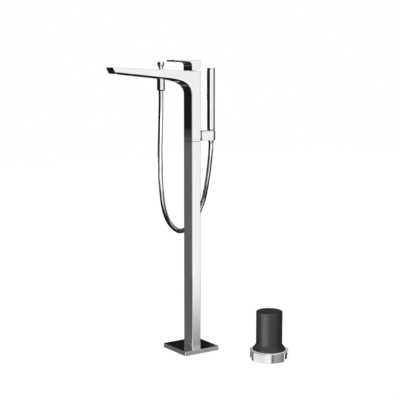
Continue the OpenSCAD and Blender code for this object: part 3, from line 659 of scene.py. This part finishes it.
def eased(outline, radius, steps=4):
    """A closed outline without its idle points, its corners rounded apart from those on the axis."""
    last = len(outline) - 1
    points = [
        p for i, p in enumerate(outline)
        if p.x < MERGE or turn_at(outline[i - 1], p, outline[0 if i == last else i + 1]) > IDLE_TURN
    ]
    made = []
    for i, at in enumerate(points):
        before, after = points[i - 1], points[(i + 1) % len(points)]
        turn = turn_at(before, at, after)
        if at.x < MERGE or turn < LEAST_TURN or radius <= 0:
            made.append(at)
            continue
        back = min(radius * tan(turn / 2), 0.4 * (before - at).length, 0.4 * (after - at).length)
        start = at + (before - at).normalized() * back
        end = at + (after - at).normalized() * back
        made += [
            start.lerp(at, i / steps).lerp(at.lerp(end, i / steps), i / steps)
            for i in range(steps + 1)
        ]
    return made


def spin(bm, outline, axis, around=ROUND):
    """Turns a closed outline of (radius, height) round an upright axis."""
    rings = []
    for p in outline:
        if p.x < MERGE:
            rings.append([bm.verts.new((axis.x, axis.y, p.y))])
        else:
            rings.append([
                bm.verts.new((
                    axis.x + p.x * cos(2 * pi * k / around),
                    axis.y + p.x * sin(2 * pi * k / around), p.y,
                ))
                for k in range(around)
            ])
    for a, b in zip(rings, rings[1:] + rings[:1]):
        if len(a) == 1 and len(b) == 1:
            continue
        for k in range(around):
            n = (k + 1) % around
            corners = [a[k % len(a)], b[k % len(b)], b[n % len(b)], a[n % len(a)]]
            bm.faces.new(list(dict.fromkeys(corners)))


def skin(bm, rings):
    """Closes the shape whose cross-sections are the rings of vertices, ends and all."""
    for a, b in zip(rings, rings[1:]):
        for k in range(len(a)):
            n = (k + 1) % len(a)
            bm.faces.new((a[k], a[n], b[n], b[k]))
    bm.faces.new(rings[0])
    bm.faces.new(rings[-1])


def turned(name, node, edge):
    """A turned node again, with fine roundness and its edges eased."""
    axis = axis_of(node)
    bm = bmesh.new()
    for outline in seam_outlines(node, axis):
        spin(bm, eased(outline, edge), axis)
    face_outwards(bm)
    return keep_flat(place_piece(name, bm, node))


# ---- column and base

def near(value, wanted, slack=0.02 * MM):
    return abs(value - wanted) < slack


PLATE_RIM = 2.2 * MM        # what lies within this of the plate's sides belongs to its outside
PLATE_EDGE = 0.5 * MM


def make_cover_plate():
    """The square plate on the floor, its rim and its upright corners lightly rounded."""
    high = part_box("base_cover_plate")[1]

    def radius_of(edge):
        outside = all(
            max(abs(v.co.x), abs(v.co.y)) > high.x - PLATE_RIM or near(v.co.z, high.z)
            for v in edge.verts
        )
        return PLATE_EDGE if outside else 0
    plate = rounded_shell("cover_plate", "base_cover_plate", radius_of, 3)
    plate.visible_glossy = False
    return plate


BAR_LOW, BAR_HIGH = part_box("column_tube")
BAR_RADIUS = 3 * MM


def on_bar(point, slack=0.05 * MM):
    """Whether a point lies on the column's outer face, whatever its height."""
    centre_y = (BAR_LOW.y + BAR_HIGH.y) / 2
    half = (BAR_HIGH - BAR_LOW) / 2
    out_x = abs(point.x) - half.x + BAR_RADIUS
    out_y = abs(point.y - centre_y) - half.y + BAR_RADIUS
    gap = hypot(max(out_x, 0), max(out_y, 0)) + min(max(out_x, out_y), 0) - BAR_RADIUS
    return abs(gap) < slack


SEAM_EASE = 0.5 * MM        # where two castings meet


def make_column():
    def radius_of(edge):
        flat = near(edge.verts[0].co.z, edge.verts[1].co.z)
        return SEAM_EASE if flat and all(on_bar(v.co) for v in edge.verts) else 0
    return rounded_shell("column", "column_tube", radius_of, 3)


# ---- spout and lever

CORNER_RADIUS = 2.6 * MM    # of the spout body's upright front corners
ARM_EDGE = 5.5 * MM         # of the arm's lower edges, which narrow to it down the curve
ARM_LOW, CURVE_END = 828 * MM, 806 * MM  # heights between which those edges narrow
TOP_EDGE = 0.6 * MM
TIP_EDGE = 0.5 * MM
TIP_HALF = 21 * MM          # half the arm's width at its tip
TIP_ZONE = 12 * MM          # how far back from the tip its own edges reach


def squared_front(bm):
    """The column's round front corners run square up to the arm, so that one radius follows both."""
    centre = BAR_LOW.y + BAR_RADIUS
    inner = BAR_HIGH.x - BAR_RADIUS
    for v in bm.verts:
        if v.co.y < centre and abs(v.co.x) > inner and on_bar(v.co):
            v.co.x = BAR_HIGH.x if v.co.x > 0 else BAR_LOW.x
            v.co.y = BAR_LOW.y
    bmesh.ops.remove_doubles(bm, verts=bm.verts, dist=10 * MERGE)
    bmesh.ops.dissolve_degenerate(bm, edges=bm.edges, dist=MERGE)


def side_faces(edge):
    """The edge's face that looks sideways and its other face, or None twice."""
    a, b = edge.link_faces
    if abs(a.normal.x) < abs(b.normal.x):
        a, b = b, a
    return (a, b) if abs(a.normal.x) > 0.9 and abs(b.normal.x) < 0.7 else (None, None)


def make_spout():
    low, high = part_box("spout_body")
    reach = BAR_LOW.y - low.y

    def half_width(y):
        return high.x - (high.x - TIP_HALF) * max(BAR_LOW.y - y, 0) / reach

    def on_side(point):
        return abs(abs(point.x) - half_width(point.y)) < 0.05 * MM

    def radius_of(edge):
        a, b = (v.co for v in edge.verts)
        both_on_side = on_side(a) and on_side(b)
        if near(a.z, low.z) and near(b.z, low.z) and (on_bar(a) and on_bar(b) or both_on_side):
            return SEAM_EASE
        if not both_on_side:
            return TOP_EDGE if near(a.y, high.y) and near(b.y, high.y) and near(a.z, b.z) else 0
        side, other = side_faces(edge)
        if side is None:
            return TIP_EDGE if a.y < low.y + TIP_ZONE and abs(a.x - b.x) > TIP_HALF else 0
        if other.normal.z > 0.5:
            return TOP_EDGE
        if max(a.y, b.y) < low.y + TIP_ZONE:
            return TIP_EDGE
        if max(a.y, b.y) > BAR_LOW.y + 0.1 * MM:
            return 0
        down = min(max((ARM_LOW - (a.z + b.z) / 2) / (ARM_LOW - CURVE_END), 0), 1)
        return ARM_EDGE + (CORNER_RADIUS - ARM_EDGE) * down
    return rounded_shell("spout", "spout_body", radius_of, 5, squared_front)


BLADE_EDGE = 4.3 * MM       # of the lever blade's lower edges
BLADE_START = 13 * MM       # from the column's front to where the blade leaves its block
BLADE_DEPTH = 8 * MM        # the blade lies within this of the lever's top
BLOCK_EDGE = 2.4 * MM       # of the block's lower edges
LEVER_EDGE = 0.6 * MM       # of all its others
PLUG_HALF = 5 * MM          # the plug's hole lies within this of the middle of its back
PLUG_EDGE = 0.2 * MM
POCKET_HALF = 12 * MM       # half the width of the hollow under it
POCKET_ROOF = 5 * MM        # from its top down to that hollow


def make_lever():
    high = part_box("lever_handle")[1]

    def on_skin(p):
        in_pocket = abs(p.x) < POCKET_HALF and p.z < high.z - POCKET_ROOF and p.y > BAR_LOW.y + MM
        return not in_pocket or near(p.y, high.y)

    def radius_of(edge):
        a, b = (v.co for v in edge.verts)
        if not (on_skin(a) and on_skin(b)):
            return 0
        if near(a.y, high.y) and near(b.y, high.y) and abs(a.x) < PLUG_HALF:
            return PLUG_EDGE
        along = abs(a.y - b.y) > abs(a.x - b.x) and max(a.y, b.y) < BAR_LOW.y
        below = max(a.z, b.z) < high.z - 3 * MM
        blade = min(a.y, b.y) < BAR_LOW.y - BLADE_START and min(a.z, b.z) > high.z - BLADE_DEPTH
        if along and below:
            return BLADE_EDGE if blade else BLOCK_EDGE
        return LEVER_EDGE
    return rounded_shell("lever", "lever_handle", radius_of)


# ---- hose

# The line that the hose hangs along, from the outlet under the spout to the swivel under the handset.
HOSE_ROUTE = [
    (0, -107, 808), (0, -107, 772), (0, -108, 738), (0, -109, 705), (0, -110, 670),
    (-2, -110, 631), (-5, -107, 585), (-9, -104, 540), (-13, -97, 492), (-18, -89, 458),
    (-23, -77, 428), (-28, -64, 407), (-35, -48, 391), (-42, -30, 378), (-49, -13, 370),
    (-56, 5, 368), (-62, 23, 371), (-65, 41, 381), (-64, 56, 396), (-60, 68, 417),
    (-53, 75, 441), (-44, 79, 466), (-34, 79, 494), (-24, 78, 524), (-13, 77, 562),
    (-5, 76, 600), (-1, 75.5, 625), (0, 75.5, 643),
]
HOSE_DIAMETER = 14.8 * MM
RIB_PITCH = 2.5 * MM
RIB_MARKS = (0.0, 0.84, 0.89, 0.95)  # one rib: its crest's start and end, its groove's start and end
GROOVE_DEPTH = 0.18 * MM
HOSE_AROUND = 28


def spline(points, per_span=24):
    """A dense smooth line through the points, which leaves the first and meets the last upright."""
    ends = [points[0] * 2 - points[1], *points, points[-1] * 2 - points[-2]]
    dense = []
    for a, b, c, d in zip(ends, ends[1:], ends[2:], ends[3:]):
        for k in range(per_span):
            t = k / per_span
            dense.append(0.5 * (
                2 * b + (c - a) * t + (2 * a - 5 * b + 4 * c - d) * t * t
                + (3 * b - 3 * c + d - a) * t ** 3
            ))
    return dense + [points[-1]]


def marked(dense, pitch, marks):
    """Points along a dense line, with the same marks in every pitch, and the line's length."""
    run = [0.0]
    for a, b in zip(dense, dense[1:]):
        run.append(run[-1] + (b - a).length)
    count = round(run[-1] / pitch)
    wanted = [run[-1] * (k + mark) / count for k in range(count) for mark in marks]
    points, at = [], 0
    for distance in wanted + [run[-1]]:
        while at < len(run) - 2 and run[at + 1] < distance:
            at += 1
        share = (distance - run[at]) / (run[at + 1] - run[at])
        points.append(dense[at].lerp(dense[at + 1], share))
    return points, run[-1]


def node_tree(name, inputs):
    """An empty Geometry Nodes tree with a geometry input, the named inputs and a geometry output."""
    tree = bpy.data.node_groups.new(name, "GeometryNodeTree")
    tree.is_modifier = True
    face = tree.interface
    face.new_socket("Geometry", in_out="INPUT", socket_type="NodeSocketGeometry")
    for label, kind in inputs.items():
        face.new_socket(label, in_out="INPUT", socket_type="NodeSocket" + kind)
    face.new_socket("Geometry", in_out="OUTPUT", socket_type="NodeSocketGeometry")
    return tree, add(tree, "NodeGroupInput").outputs


def finished(tree, geometry, material):
    """Ends a tree: real geometry with its material."""
    real = add(tree, "GeometryNodeRealizeInstances", {"Geometry": geometry}).outputs[0]
    done = add(tree, "GeometryNodeSetMaterial", {"Geometry": real, "Material": material}).outputs[0]
    add(tree, "NodeGroupOutput", {"Geometry": done})
    return tree


def rib_tree():
    """Geometry Nodes: a tube along a line of marks, wide at each rib's crest and narrow in its groove."""
    tree, given = node_tree("hose_ribs", {
        "Marks": "Int", "Crest marks": "Int", "Radius": "Float", "Groove": "Float", "Around": "Int",
        "Material": "Material",
    })
    index = add(tree, "GeometryNodeInputIndex").outputs[0]
    mark = math_node(tree, "MODULO", index, given["Marks"])
    crest = math_node(tree, "LESS_THAN", mark, math_node(tree, "SUBTRACT", given["Crest marks"], 0.5))
    depth = math_node(tree, "MULTIPLY", math_node(tree, "SUBTRACT", 1.0, crest), given["Groove"])
    girth = math_node(tree, "SUBTRACT", given["Radius"], depth)
    line = add(tree, "GeometryNodeMeshToCurve", {"Mesh": given["Geometry"]}).outputs[0]
    line = add(
        tree, "GeometryNodeStoreNamedAttribute", {"Geometry": line, "Name": "rib", "Value": crest}
    ).outputs[0]
    ring = add(
        tree, "GeometryNodeCurvePrimitiveCircle", {"Resolution": given["Around"], "Radius": 1.0}
    ).outputs[0]
    tube = add(tree, "GeometryNodeCurveToMesh", {
        "Curve": line, "Profile Curve": ring, "Scale": girth, "Fill Caps": True,
    }).outputs[0]
    return finished(tree, tube, given["Material"])


def grown(name, bm, tree, **inputs):
    """The plain mesh that a node tree makes of a mesh, as a new object with its edges shaded."""
    start = as_object(name + "_start", bm)
    modifier = start.modifiers.new("nodes", "NODES")
    modifier.node_group = tree
    named = {s.name: s.identifier for s in tree.interface.items_tree if s.in_out == "INPUT"}
    for key, value in inputs.items():
        modifier[named[key.replace("_", " ")]] = value
    made = plain_mesh(start)
    bpy.data.objects.remove(start)
    bm = opened(made)
    face_outwards(bm)
    shade(bm)
    bm.to_mesh(made)
    bm.free()
    made.name = name
    return put(name, made)


def make_hose():
    """A wound metal hose: ribs with shallow grooves between them, along the line that it hangs on."""
    line = spline([Vector(p) * MM for p in HOSE_ROUTE])
    marks, length = marked(line, RIB_PITCH, RIB_MARKS)
    bm = bmesh.new()
    spots = [bm.verts.new(p) for p in marks]
    for a, b in zip(spots, spots[1:]):
        bm.edges.new((a, b))
    hose = grown(
        "hose", bm, rib_tree(), Marks=len(RIB_MARKS), Crest_marks=2, Radius=HOSE_DIAMETER / 2,
        Groove=GROOVE_DEPTH, Around=HOSE_AROUND, Material=FINISHES["hose_metal"],
    )
    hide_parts("shower_hose")
    exit_point, far_point = marks[0], marks[-1]
    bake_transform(hose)
    tuple(exit_point)
    hose.visible_glossy = False
    below = Vector((exit_point.x, exit_point.y, HOSE_LAMP_HEIGHT))
    panel_lamp("hose_lamp", [hose], below, *HOSE_LAMP)


# ---- handset

WINDOW_GAP = 0.12 * MM      # between the spray strip and its window in the tube
TUBE_WALL = 1.2 * MM
TUBE_CELLS = 120            # round the tube


def make_handset_tube():
    """A thin tube with the window that the spray strip fills."""
    low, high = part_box("handset_tube")
    strip_low, strip_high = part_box("nozzle_strip")
    axis = axis_of("handset_fitting")
    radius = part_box("handset_fitting")[1].y - axis.y
    half = strip_half_angle() + WINDOW_GAP / radius
    spans = [(-pi / 2 - half, 2 * half), (-pi / 2 + half, 2 * pi - 2 * half)]
    cells = [round(TUBE_CELLS * sweep / (2 * pi)) for _, sweep in spans]
    angles = [
        first + sweep * k / parts for (first, sweep), parts in zip(spans, cells) for k in range(parts)
    ]
    window, count = cells[0], len(angles)
    levels = [low.z, strip_low.z - WINDOW_GAP, strip_high.z + WINDOW_GAP, high.z]
    bm = bmesh.new()

    def wall(r):
        return {
            (level, k): bm.verts.new((axis.x + r * cos(a), axis.y + r * sin(a), z))
            for level, z in enumerate(levels) for k, a in enumerate(angles)
        }
    outer, inner = wall(radius), wall(radius - TUBE_WALL)
    solid = {(row, k) for row in range(3) for k in range(count) if row != 1 or k >= window}
    for row, k in sorted(solid):
        n, up = (k + 1) % count, row + 1
        around = [(row, k), (row, n), (up, n), (up, k)]
        beside = [(row - 1, k), (row, n), (up, k), (row, (k - 1) % count)]
        bm.faces.new([outer[spot] for spot in around])
        bm.faces.new([inner[spot] for spot in reversed(around)])
        for a, b, neighbour in zip(around, around[1:] + around[:1], beside):
            if neighbour not in solid:
                bm.faces.new((outer[b], outer[a], inner[a], inner[b]))
    face_outwards(bm)
    tube = place_piece("spray_tube", bm, "handset_tube")
    panel_lamp("tube_lamp", [tube], (low + high) / 2, *TUBE_LAMP)


def strip_half_angle():
    """Half of the angle that the spray strip spans round the handset's axis."""
    low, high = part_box("nozzle_strip")
    return asin(high.x / (axis_of("handset_fitting").y - low.y))


NOZZLE_COLUMNS = 3
NOZZLE_ROWS = 11
NOZZLE_MARGIN = 5.5 * MM    # from the strip's ends to the first and last nozzles
NOZZLE_FOOT = 1.7 * MM
NOZZLE_LIP = 1.05 * MM
NOZZLE_HEIGHT = 1.1 * MM
NOZZLE_SUNK = 0.3 * MM
NOZZLE_EASE = 0.25 * MM
NOZZLE_AROUND = 14
NOZZLE_SPREAD = 0.62        # the share of the strip's half angle at which the outer nozzles stand
JET_RADIUS = 0.45 * MM
JET_FLOOR = 0.3 * NOZZLE_HEIGHT
STRIP_DEPTH = 1.5 * MM
STRIP_EASE = 0.2 * MM
STRIP_CELLS = 20            # across its curve


def nozzle_shape():
    """One soft nozzle, standing on its foot at the origin, with its jet hole."""
    outline = profile(
        (0, -NOZZLE_SUNK), (NOZZLE_FOOT, -NOZZLE_SUNK), (NOZZLE_FOOT, 0), (NOZZLE_LIP, NOZZLE_HEIGHT),
        (JET_RADIUS, NOZZLE_HEIGHT), (JET_RADIUS, JET_FLOOR), (0, JET_FLOOR),
    )
    bm = bmesh.new()
    spin(bm, eased(outline, NOZZLE_EASE, 2), Vector((0, 0)), NOZZLE_AROUND)
    face_outwards(bm)
    shade(bm)
    return as_object("nozzle_shape", bm)


def strip_slab():
    """The curved slab of silicone that fills the window, proud of the tube by a hair."""
    low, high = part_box("nozzle_strip")
    axis = axis_of("handset_fitting")
    outer = axis.y - low.y
    inner = outer - STRIP_DEPTH
    half = strip_half_angle()
    bm = bmesh.new()
    rings = []
    for k in range(STRIP_CELLS + 1):
        a = -pi / 2 - half + 2 * half * k / STRIP_CELLS
        rings.append([
            bm.verts.new((axis.x + r * cos(a), axis.y + r * sin(a), z))
            for r, z in ((outer, low.z), (outer, high.z), (inner, high.z), (inner, low.z))
        ])
    skin(bm, rings)
    rims = [e for e in bm.edges if e.calc_face_angle(0) > LEAST_TURN]
    bmesh.ops.bevel(
        bm, geom=rims, offset=STRIP_EASE, segments=2, profile=0.5, affect="EDGES", clamp_overlap=True
    )
    face_outwards(bm)
    return bm


def nozzle_tree():
    """Geometry Nodes: rows of nozzles round an upright axis, on the slab that comes in."""
    tree, given = node_tree("nozzle_rows", {
        "Nozzle": "Object", "Columns": "Int", "Rows": "Int", "Half angle": "Float", "Radius": "Float",
        "Low": "Float", "High": "Float", "Axis X": "Float", "Axis Y": "Float", "Material": "Material",
    })
    grid = add(tree, "GeometryNodeMeshGrid", {
        "Size X": 2.0, "Size Y": 1.0, "Vertices X": given["Columns"], "Vertices Y": given["Rows"],
    })
    here = add(tree, "GeometryNodeInputPosition").outputs[0]
    spot = add(tree, "ShaderNodeSeparateXYZ", {0: here}).outputs
    angle = math_node(tree, "MULTIPLY", spot["X"], given["Half angle"])
    outward_y = math_node(tree, "MULTIPLY", math_node(tree, "COSINE", angle), -1.0)
    outward = add(tree, "ShaderNodeCombineXYZ", {
        "X": math_node(tree, "SINE", angle), "Y": outward_y,
    }).outputs[0]
    height = between(tree, spot["Y"], -0.5, 0.5, given["Low"], given["High"])
    foot = add(tree, "ShaderNodeCombineXYZ", {
        "X": given["Axis X"], "Y": given["Axis Y"], "Z": height,
    }).outputs[0]
    reach = add(
        tree, "ShaderNodeVectorMath", {0: outward, "Scale": given["Radius"]}, operation="SCALE"
    ).outputs[0]
    place = vector_node(tree, "ADD", foot, reach)[0]
    nozzle = add(tree, "GeometryNodeObjectInfo", {"Object": given["Nozzle"]}).outputs["Geometry"]
    turned_out = add(tree, "FunctionNodeAlignRotationToVector", {"Vector": outward}, axis="Z").outputs[0]
    standing = add(tree, "GeometryNodeInstanceOnPoints", {
        "Points": grid.outputs["Mesh"], "Instance": nozzle, "Rotation": turned_out,
    }).outputs[0]
    placed = add(tree, "GeometryNodeSetPosition", {"Geometry": standing, "Position": place}).outputs[0]
    joined = add(tree, "GeometryNodeJoinGeometry")
    tree.links.new(given["Geometry"], joined.inputs[0])
    tree.links.new(placed, joined.inputs[0])
    return finished(tree, joined.outputs[0], given["Material"])


def make_spray_strip():
    low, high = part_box("nozzle_strip")
    axis = axis_of("handset_fitting")
    slab = strip_slab()
    shade(slab)
    nozzle = nozzle_shape()
    strip = grown(
        "spray_strip", slab, nozzle_tree(), Nozzle=nozzle, Columns=NOZZLE_COLUMNS, Rows=NOZZLE_ROWS,
        Half_angle=strip_half_angle() * NOZZLE_SPREAD, Radius=axis.y - low.y, Low=low.z + NOZZLE_MARGIN,
        High=high.z - NOZZLE_MARGIN, Axis_X=axis.x, Axis_Y=axis.y, Material=FINISHES["silicone"],
    )
    bpy.data.objects.remove(nozzle)
    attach(strip, body_of("nozzle_strip"))
    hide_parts("nozzle_strip")


# ---- holder and floor unit

NECK_EDGE = 1.2 * MM
CLASP_EDGE = 0.4 * MM
SCREW_HALF = 8 * MM         # the screw's hole lies within this of the middle


def make_holder():
    """The neck and the clasp that the handset stands in."""
    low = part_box("handset_holder")[0]
    neck_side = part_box("holder_neck")[1].x
    axis = axis_of("handset_fitting")
    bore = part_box("holder_bush")[1].x

    def neck_radius(edge):
        a, b = (v.co for v in edge.verts)
        lengthwise = near(a.x, b.x) and near(abs(a.x), neck_side) and not near(a.y, b.y)
        return NECK_EDGE if lengthwise else 0

    def clasp_radius(edge):
        a, b = (v.co for v in edge.verts)
        outside = all(hypot(p.x - axis.x, p.y - axis.y) > bore + CLASP_EDGE for p in (a, b))
        screw = near(a.y, low.y) and near(b.y, low.y) and max(abs(a.x), abs(b.x)) < SCREW_HALF
        return CLASP_EDGE if outside and not screw else 0
    return [
        rounded_shell("holder_arm", "holder_neck", neck_radius),
        rounded_shell("holder_clasp", "handset_holder", clasp_radius),
    ]


RING_AROUND = 144
RING_EDGE = 1.0 * MM
WELL_RADIUS = 42 * MM
WEB_TOP = 6.5 * MM          # the well's floor
PORT_DEPTH = 9.5 * MM
PORT_FLARE = 1.6 * MM       # how much wider a port is at its mouth
FLARE_DEPTH = 1.4 * MM
THREAD_START = 2.0 * MM     # from the mouth
THREAD_PITCH = 1.814 * MM
THREAD_DEPTH = 0.9 * MM
THREAD_FLANK = 0.45         # each side of a groove, as a share of the pitch
ELBOW_RADIUS = 7.05 * MM
HOLE_CIRCLE = 32 * MM
HOLE_RADIUS = 3.25 * MM
HOLE_SINK = 1.4 * MM        # how much wider a fixing hole is 1 mm above the web, at 45 degrees
HOLE_AROUND = 48
FINE_LIMIT = radians(12)    # flats and round walls that meet at less than this run on


def cutter(outline, place):
    """A tool that cuts a round hole: a closed outline turned round Z, then put in its place."""
    bm = bmesh.new()
    spin(bm, outline, Vector((0, 0)), HOLE_AROUND)
    face_outwards(bm)
    bmesh.ops.transform(bm, matrix=place, verts=bm.verts)
    return bm


def thread_outline(radius, mouth, depth):
    """Outline of a threaded port that opens at mouth: a chamfer, then the thread's grooves."""
    flared = radius + PORT_FLARE
    points = [(0, mouth + MM), (flared, mouth + MM), (flared, mouth), (radius, mouth - FLARE_DEPTH)]
    at = mouth - THREAD_START
    while at - THREAD_PITCH > mouth - depth:
        points += [
            (radius, at), (radius + THREAD_DEPTH, at - THREAD_PITCH * THREAD_FLANK),
            (radius, at - THREAD_PITCH * 2 * THREAD_FLANK),
        ]
        at -= THREAD_PITCH
    return profile(*points, (radius, mouth - depth), (0, mouth - depth))


def ring_blank(radius, flats, height):
    """The ring before its holes: round, with flats as (angle, distance), and a well from above."""
    even = {2 * pi * k / RING_AROUND for k in range(RING_AROUND)}
    ends = {(turn + s * acos(away / radius)) % (2 * pi) for turn, away in flats for s in (-1, 1)}
    angles = sorted(even | ends)

    def reach(angle, inset):
        far = radius - inset
        for turn, distance in flats:
            facing = cos(angle - turn)
            if facing > 0:
                far = min(far, (distance - inset) / facing)
        return far
    foot = RING_EDGE / 2
    levels = [(foot, 0.0), (foot * 0.3, foot * 0.3), (0.0, foot), (0.0, height - RING_EDGE)]
    for k in range(1, 5):
        swing = pi / 2 * k / 4
        levels.append((RING_EDGE * (1 - cos(swing)), height - RING_EDGE * (1 - sin(swing))))
    bm = bmesh.new()
    rings = [
        [bm.verts.new((reach(a, inset) * cos(a), reach(a, inset) * sin(a), z)) for a in angles]
        for inset, z in levels
    ]
    well = [
        (WELL_RADIUS + RING_EDGE / 2, height), (WELL_RADIUS, height - RING_EDGE / 2),
        (WELL_RADIUS, WEB_TOP),
    ]
    rings += [[bm.verts.new((r * cos(a), r * sin(a), z)) for a in angles] for r, z in well]
    skin(bm, rings)
    face_outwards(bm)
    return bm


def carved(bm, tools):
    """The mesh with each tool's mesh cut out of it."""
    blank = as_object("blank", bm)
    cutters = [as_object("tool", tool) for tool in tools]
    for tool in cutters:
        cut = blank.modifiers.new("cut", "BOOLEAN")
        cut.operation = "DIFFERENCE"
        cut.solver = "EXACT"
        cut.object = tool
    bm = opened(plain_mesh(blank))
    for used in (blank, *cutters):
        bpy.data.objects.remove(used)
    bmesh.ops.remove_doubles(bm, verts=bm.verts, dist=MERGE)
    bmesh.ops.dissolve_degenerate(bm, edges=bm.edges, dist=MERGE)
    return bm


def make_unit_ring():
    """The floor unit's ring: a well, two flats with threaded ports, and holes for its fixing screws."""
    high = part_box("floor_unit_ring")[1]
    axis = axis_of("floor_unit_cap")
    radius = high.x - axis.x
    ports = [m for m in frame["record"]["mounts"] if m["name"].startswith("floor_unit_port")]
    flats, tools = [], []
    for port in ports:
        out = Vector(port["axis"])
        mouth = Vector(port["pos_m"]) - Vector((axis.x, axis.y, port["pos_m"][2]))
        turn = out.to_track_quat("Z", "Y").to_matrix().to_4x4()
        raised = Matrix.Translation((0, 0, port["pos_m"][2])) @ turn
        flats.append((atan2(out.y, out.x), mouth.length))
        bore = port["dims"]["r_mm"] * MM
        tools.append(cutter(thread_outline(bore, mouth.length, PORT_DEPTH), raised))
        near_end, far_end = WELL_RADIUS - MM, mouth.length - PORT_DEPTH / 2
        channel = profile((0, near_end), (ELBOW_RADIUS, near_end), (ELBOW_RADIUS, far_end), (0, far_end))
        tools.append(cutter(channel, raised))
    above = WEB_TOP + MM
    hole = profile(
        (0, -MM), (HOLE_RADIUS, -MM), (HOLE_RADIUS, above - HOLE_SINK),
        (HOLE_RADIUS + HOLE_SINK, above), (0, above),
    )
    first = (flats[0][0] + flats[1][0] % (2 * pi)) / 2 - pi / 4
    for k in range(4):
        angle = first + k * pi / 2
        place = Matrix.Translation((HOLE_CIRCLE * cos(angle), HOLE_CIRCLE * sin(angle), 0))
        tools.append(cutter(hole, place))
    bm = carved(ring_blank(radius, flats, high.z), tools)
    bmesh.ops.translate(bm, vec=(axis.x, axis.y, 0), verts=bm.verts)
    ring = keep_flat(place_piece("unit_ring", bm, "floor_unit_ring", limit=FINE_LIMIT))
    ring.visible_glossy = False


# ---- putting it together

TURNED = [
    # piece, node that it stands for, how far its edges are eased
    ("pull_knob", "diverter_knob", 0.5 * MM),
    ("knob_collar", "diverter_bushing", 0.35 * MM),
    ("hose_outlet", "shower_outlet", 0.5 * MM),
    ("outlet_nut", "hose_nut", 0.4 * MM),
    ("swivel_ring", "hose_swivel_ferrule", 0.3 * MM),
    ("cone_nut", "hose_cone_nut", 0.4 * MM),
    ("spray_foot", "handset_fitting", 0.3 * MM),
    ("spray_end", "handset_cap", 0.5 * MM),
    ("clasp_bush", "holder_bush", 0.3 * MM),
]


def make_unit_cap():
    cap = turned("unit_cap", "floor_unit_cap", 0.8 * MM)
    cap.visible_glossy = False
    panel_lamp("cap_lamp", [cap], middle("floor_unit_cap"), *CAP_LAMP)


def dress_kept_nodes():
    """The nodes that stay get their finish, and their own edges stay crisp."""
    for name, node in frame["nodes"].items():
        slot = slot_of(name)
        node.data.materials.clear()
        node.data.materials.append(FINISHES[slot])
        node.visible_glossy = False


make_camera()
make_hose()
make_world()
make_lamps()
make_floor()
for card_values in CARDS:
    make_card(*card_values)
flat_pieces = [make_cover_plate(), make_column(), make_spout(), make_lever()]
holder_pieces = make_holder()
for lamp_name, (compass, away, size, watts) in FLAT_LAMPS.items():
    target = Vector((0, 0, FLAT_LAMP_TOP - size[1] / 2))
    lit_pieces = flat_pieces if lamp_name == "back_lamp" else flat_pieces + holder_pieces
    panel_lamp(lamp_name, lit_pieces, target, compass, away, size, watts)
panel_lamp("cove_lamp", flat_pieces, Vector((0, 0, COVE_LAMP_HEIGHT)), *COVE_LAMP)
make_handset_tube()
make_spray_strip()
make_unit_ring()
make_unit_cap()
for piece_name, node_name, ease in TURNED:
    turned(piece_name, node_name, ease)
dress_kept_nodes()

bpy.context.scene.view_settings.view_transform = "Standard"
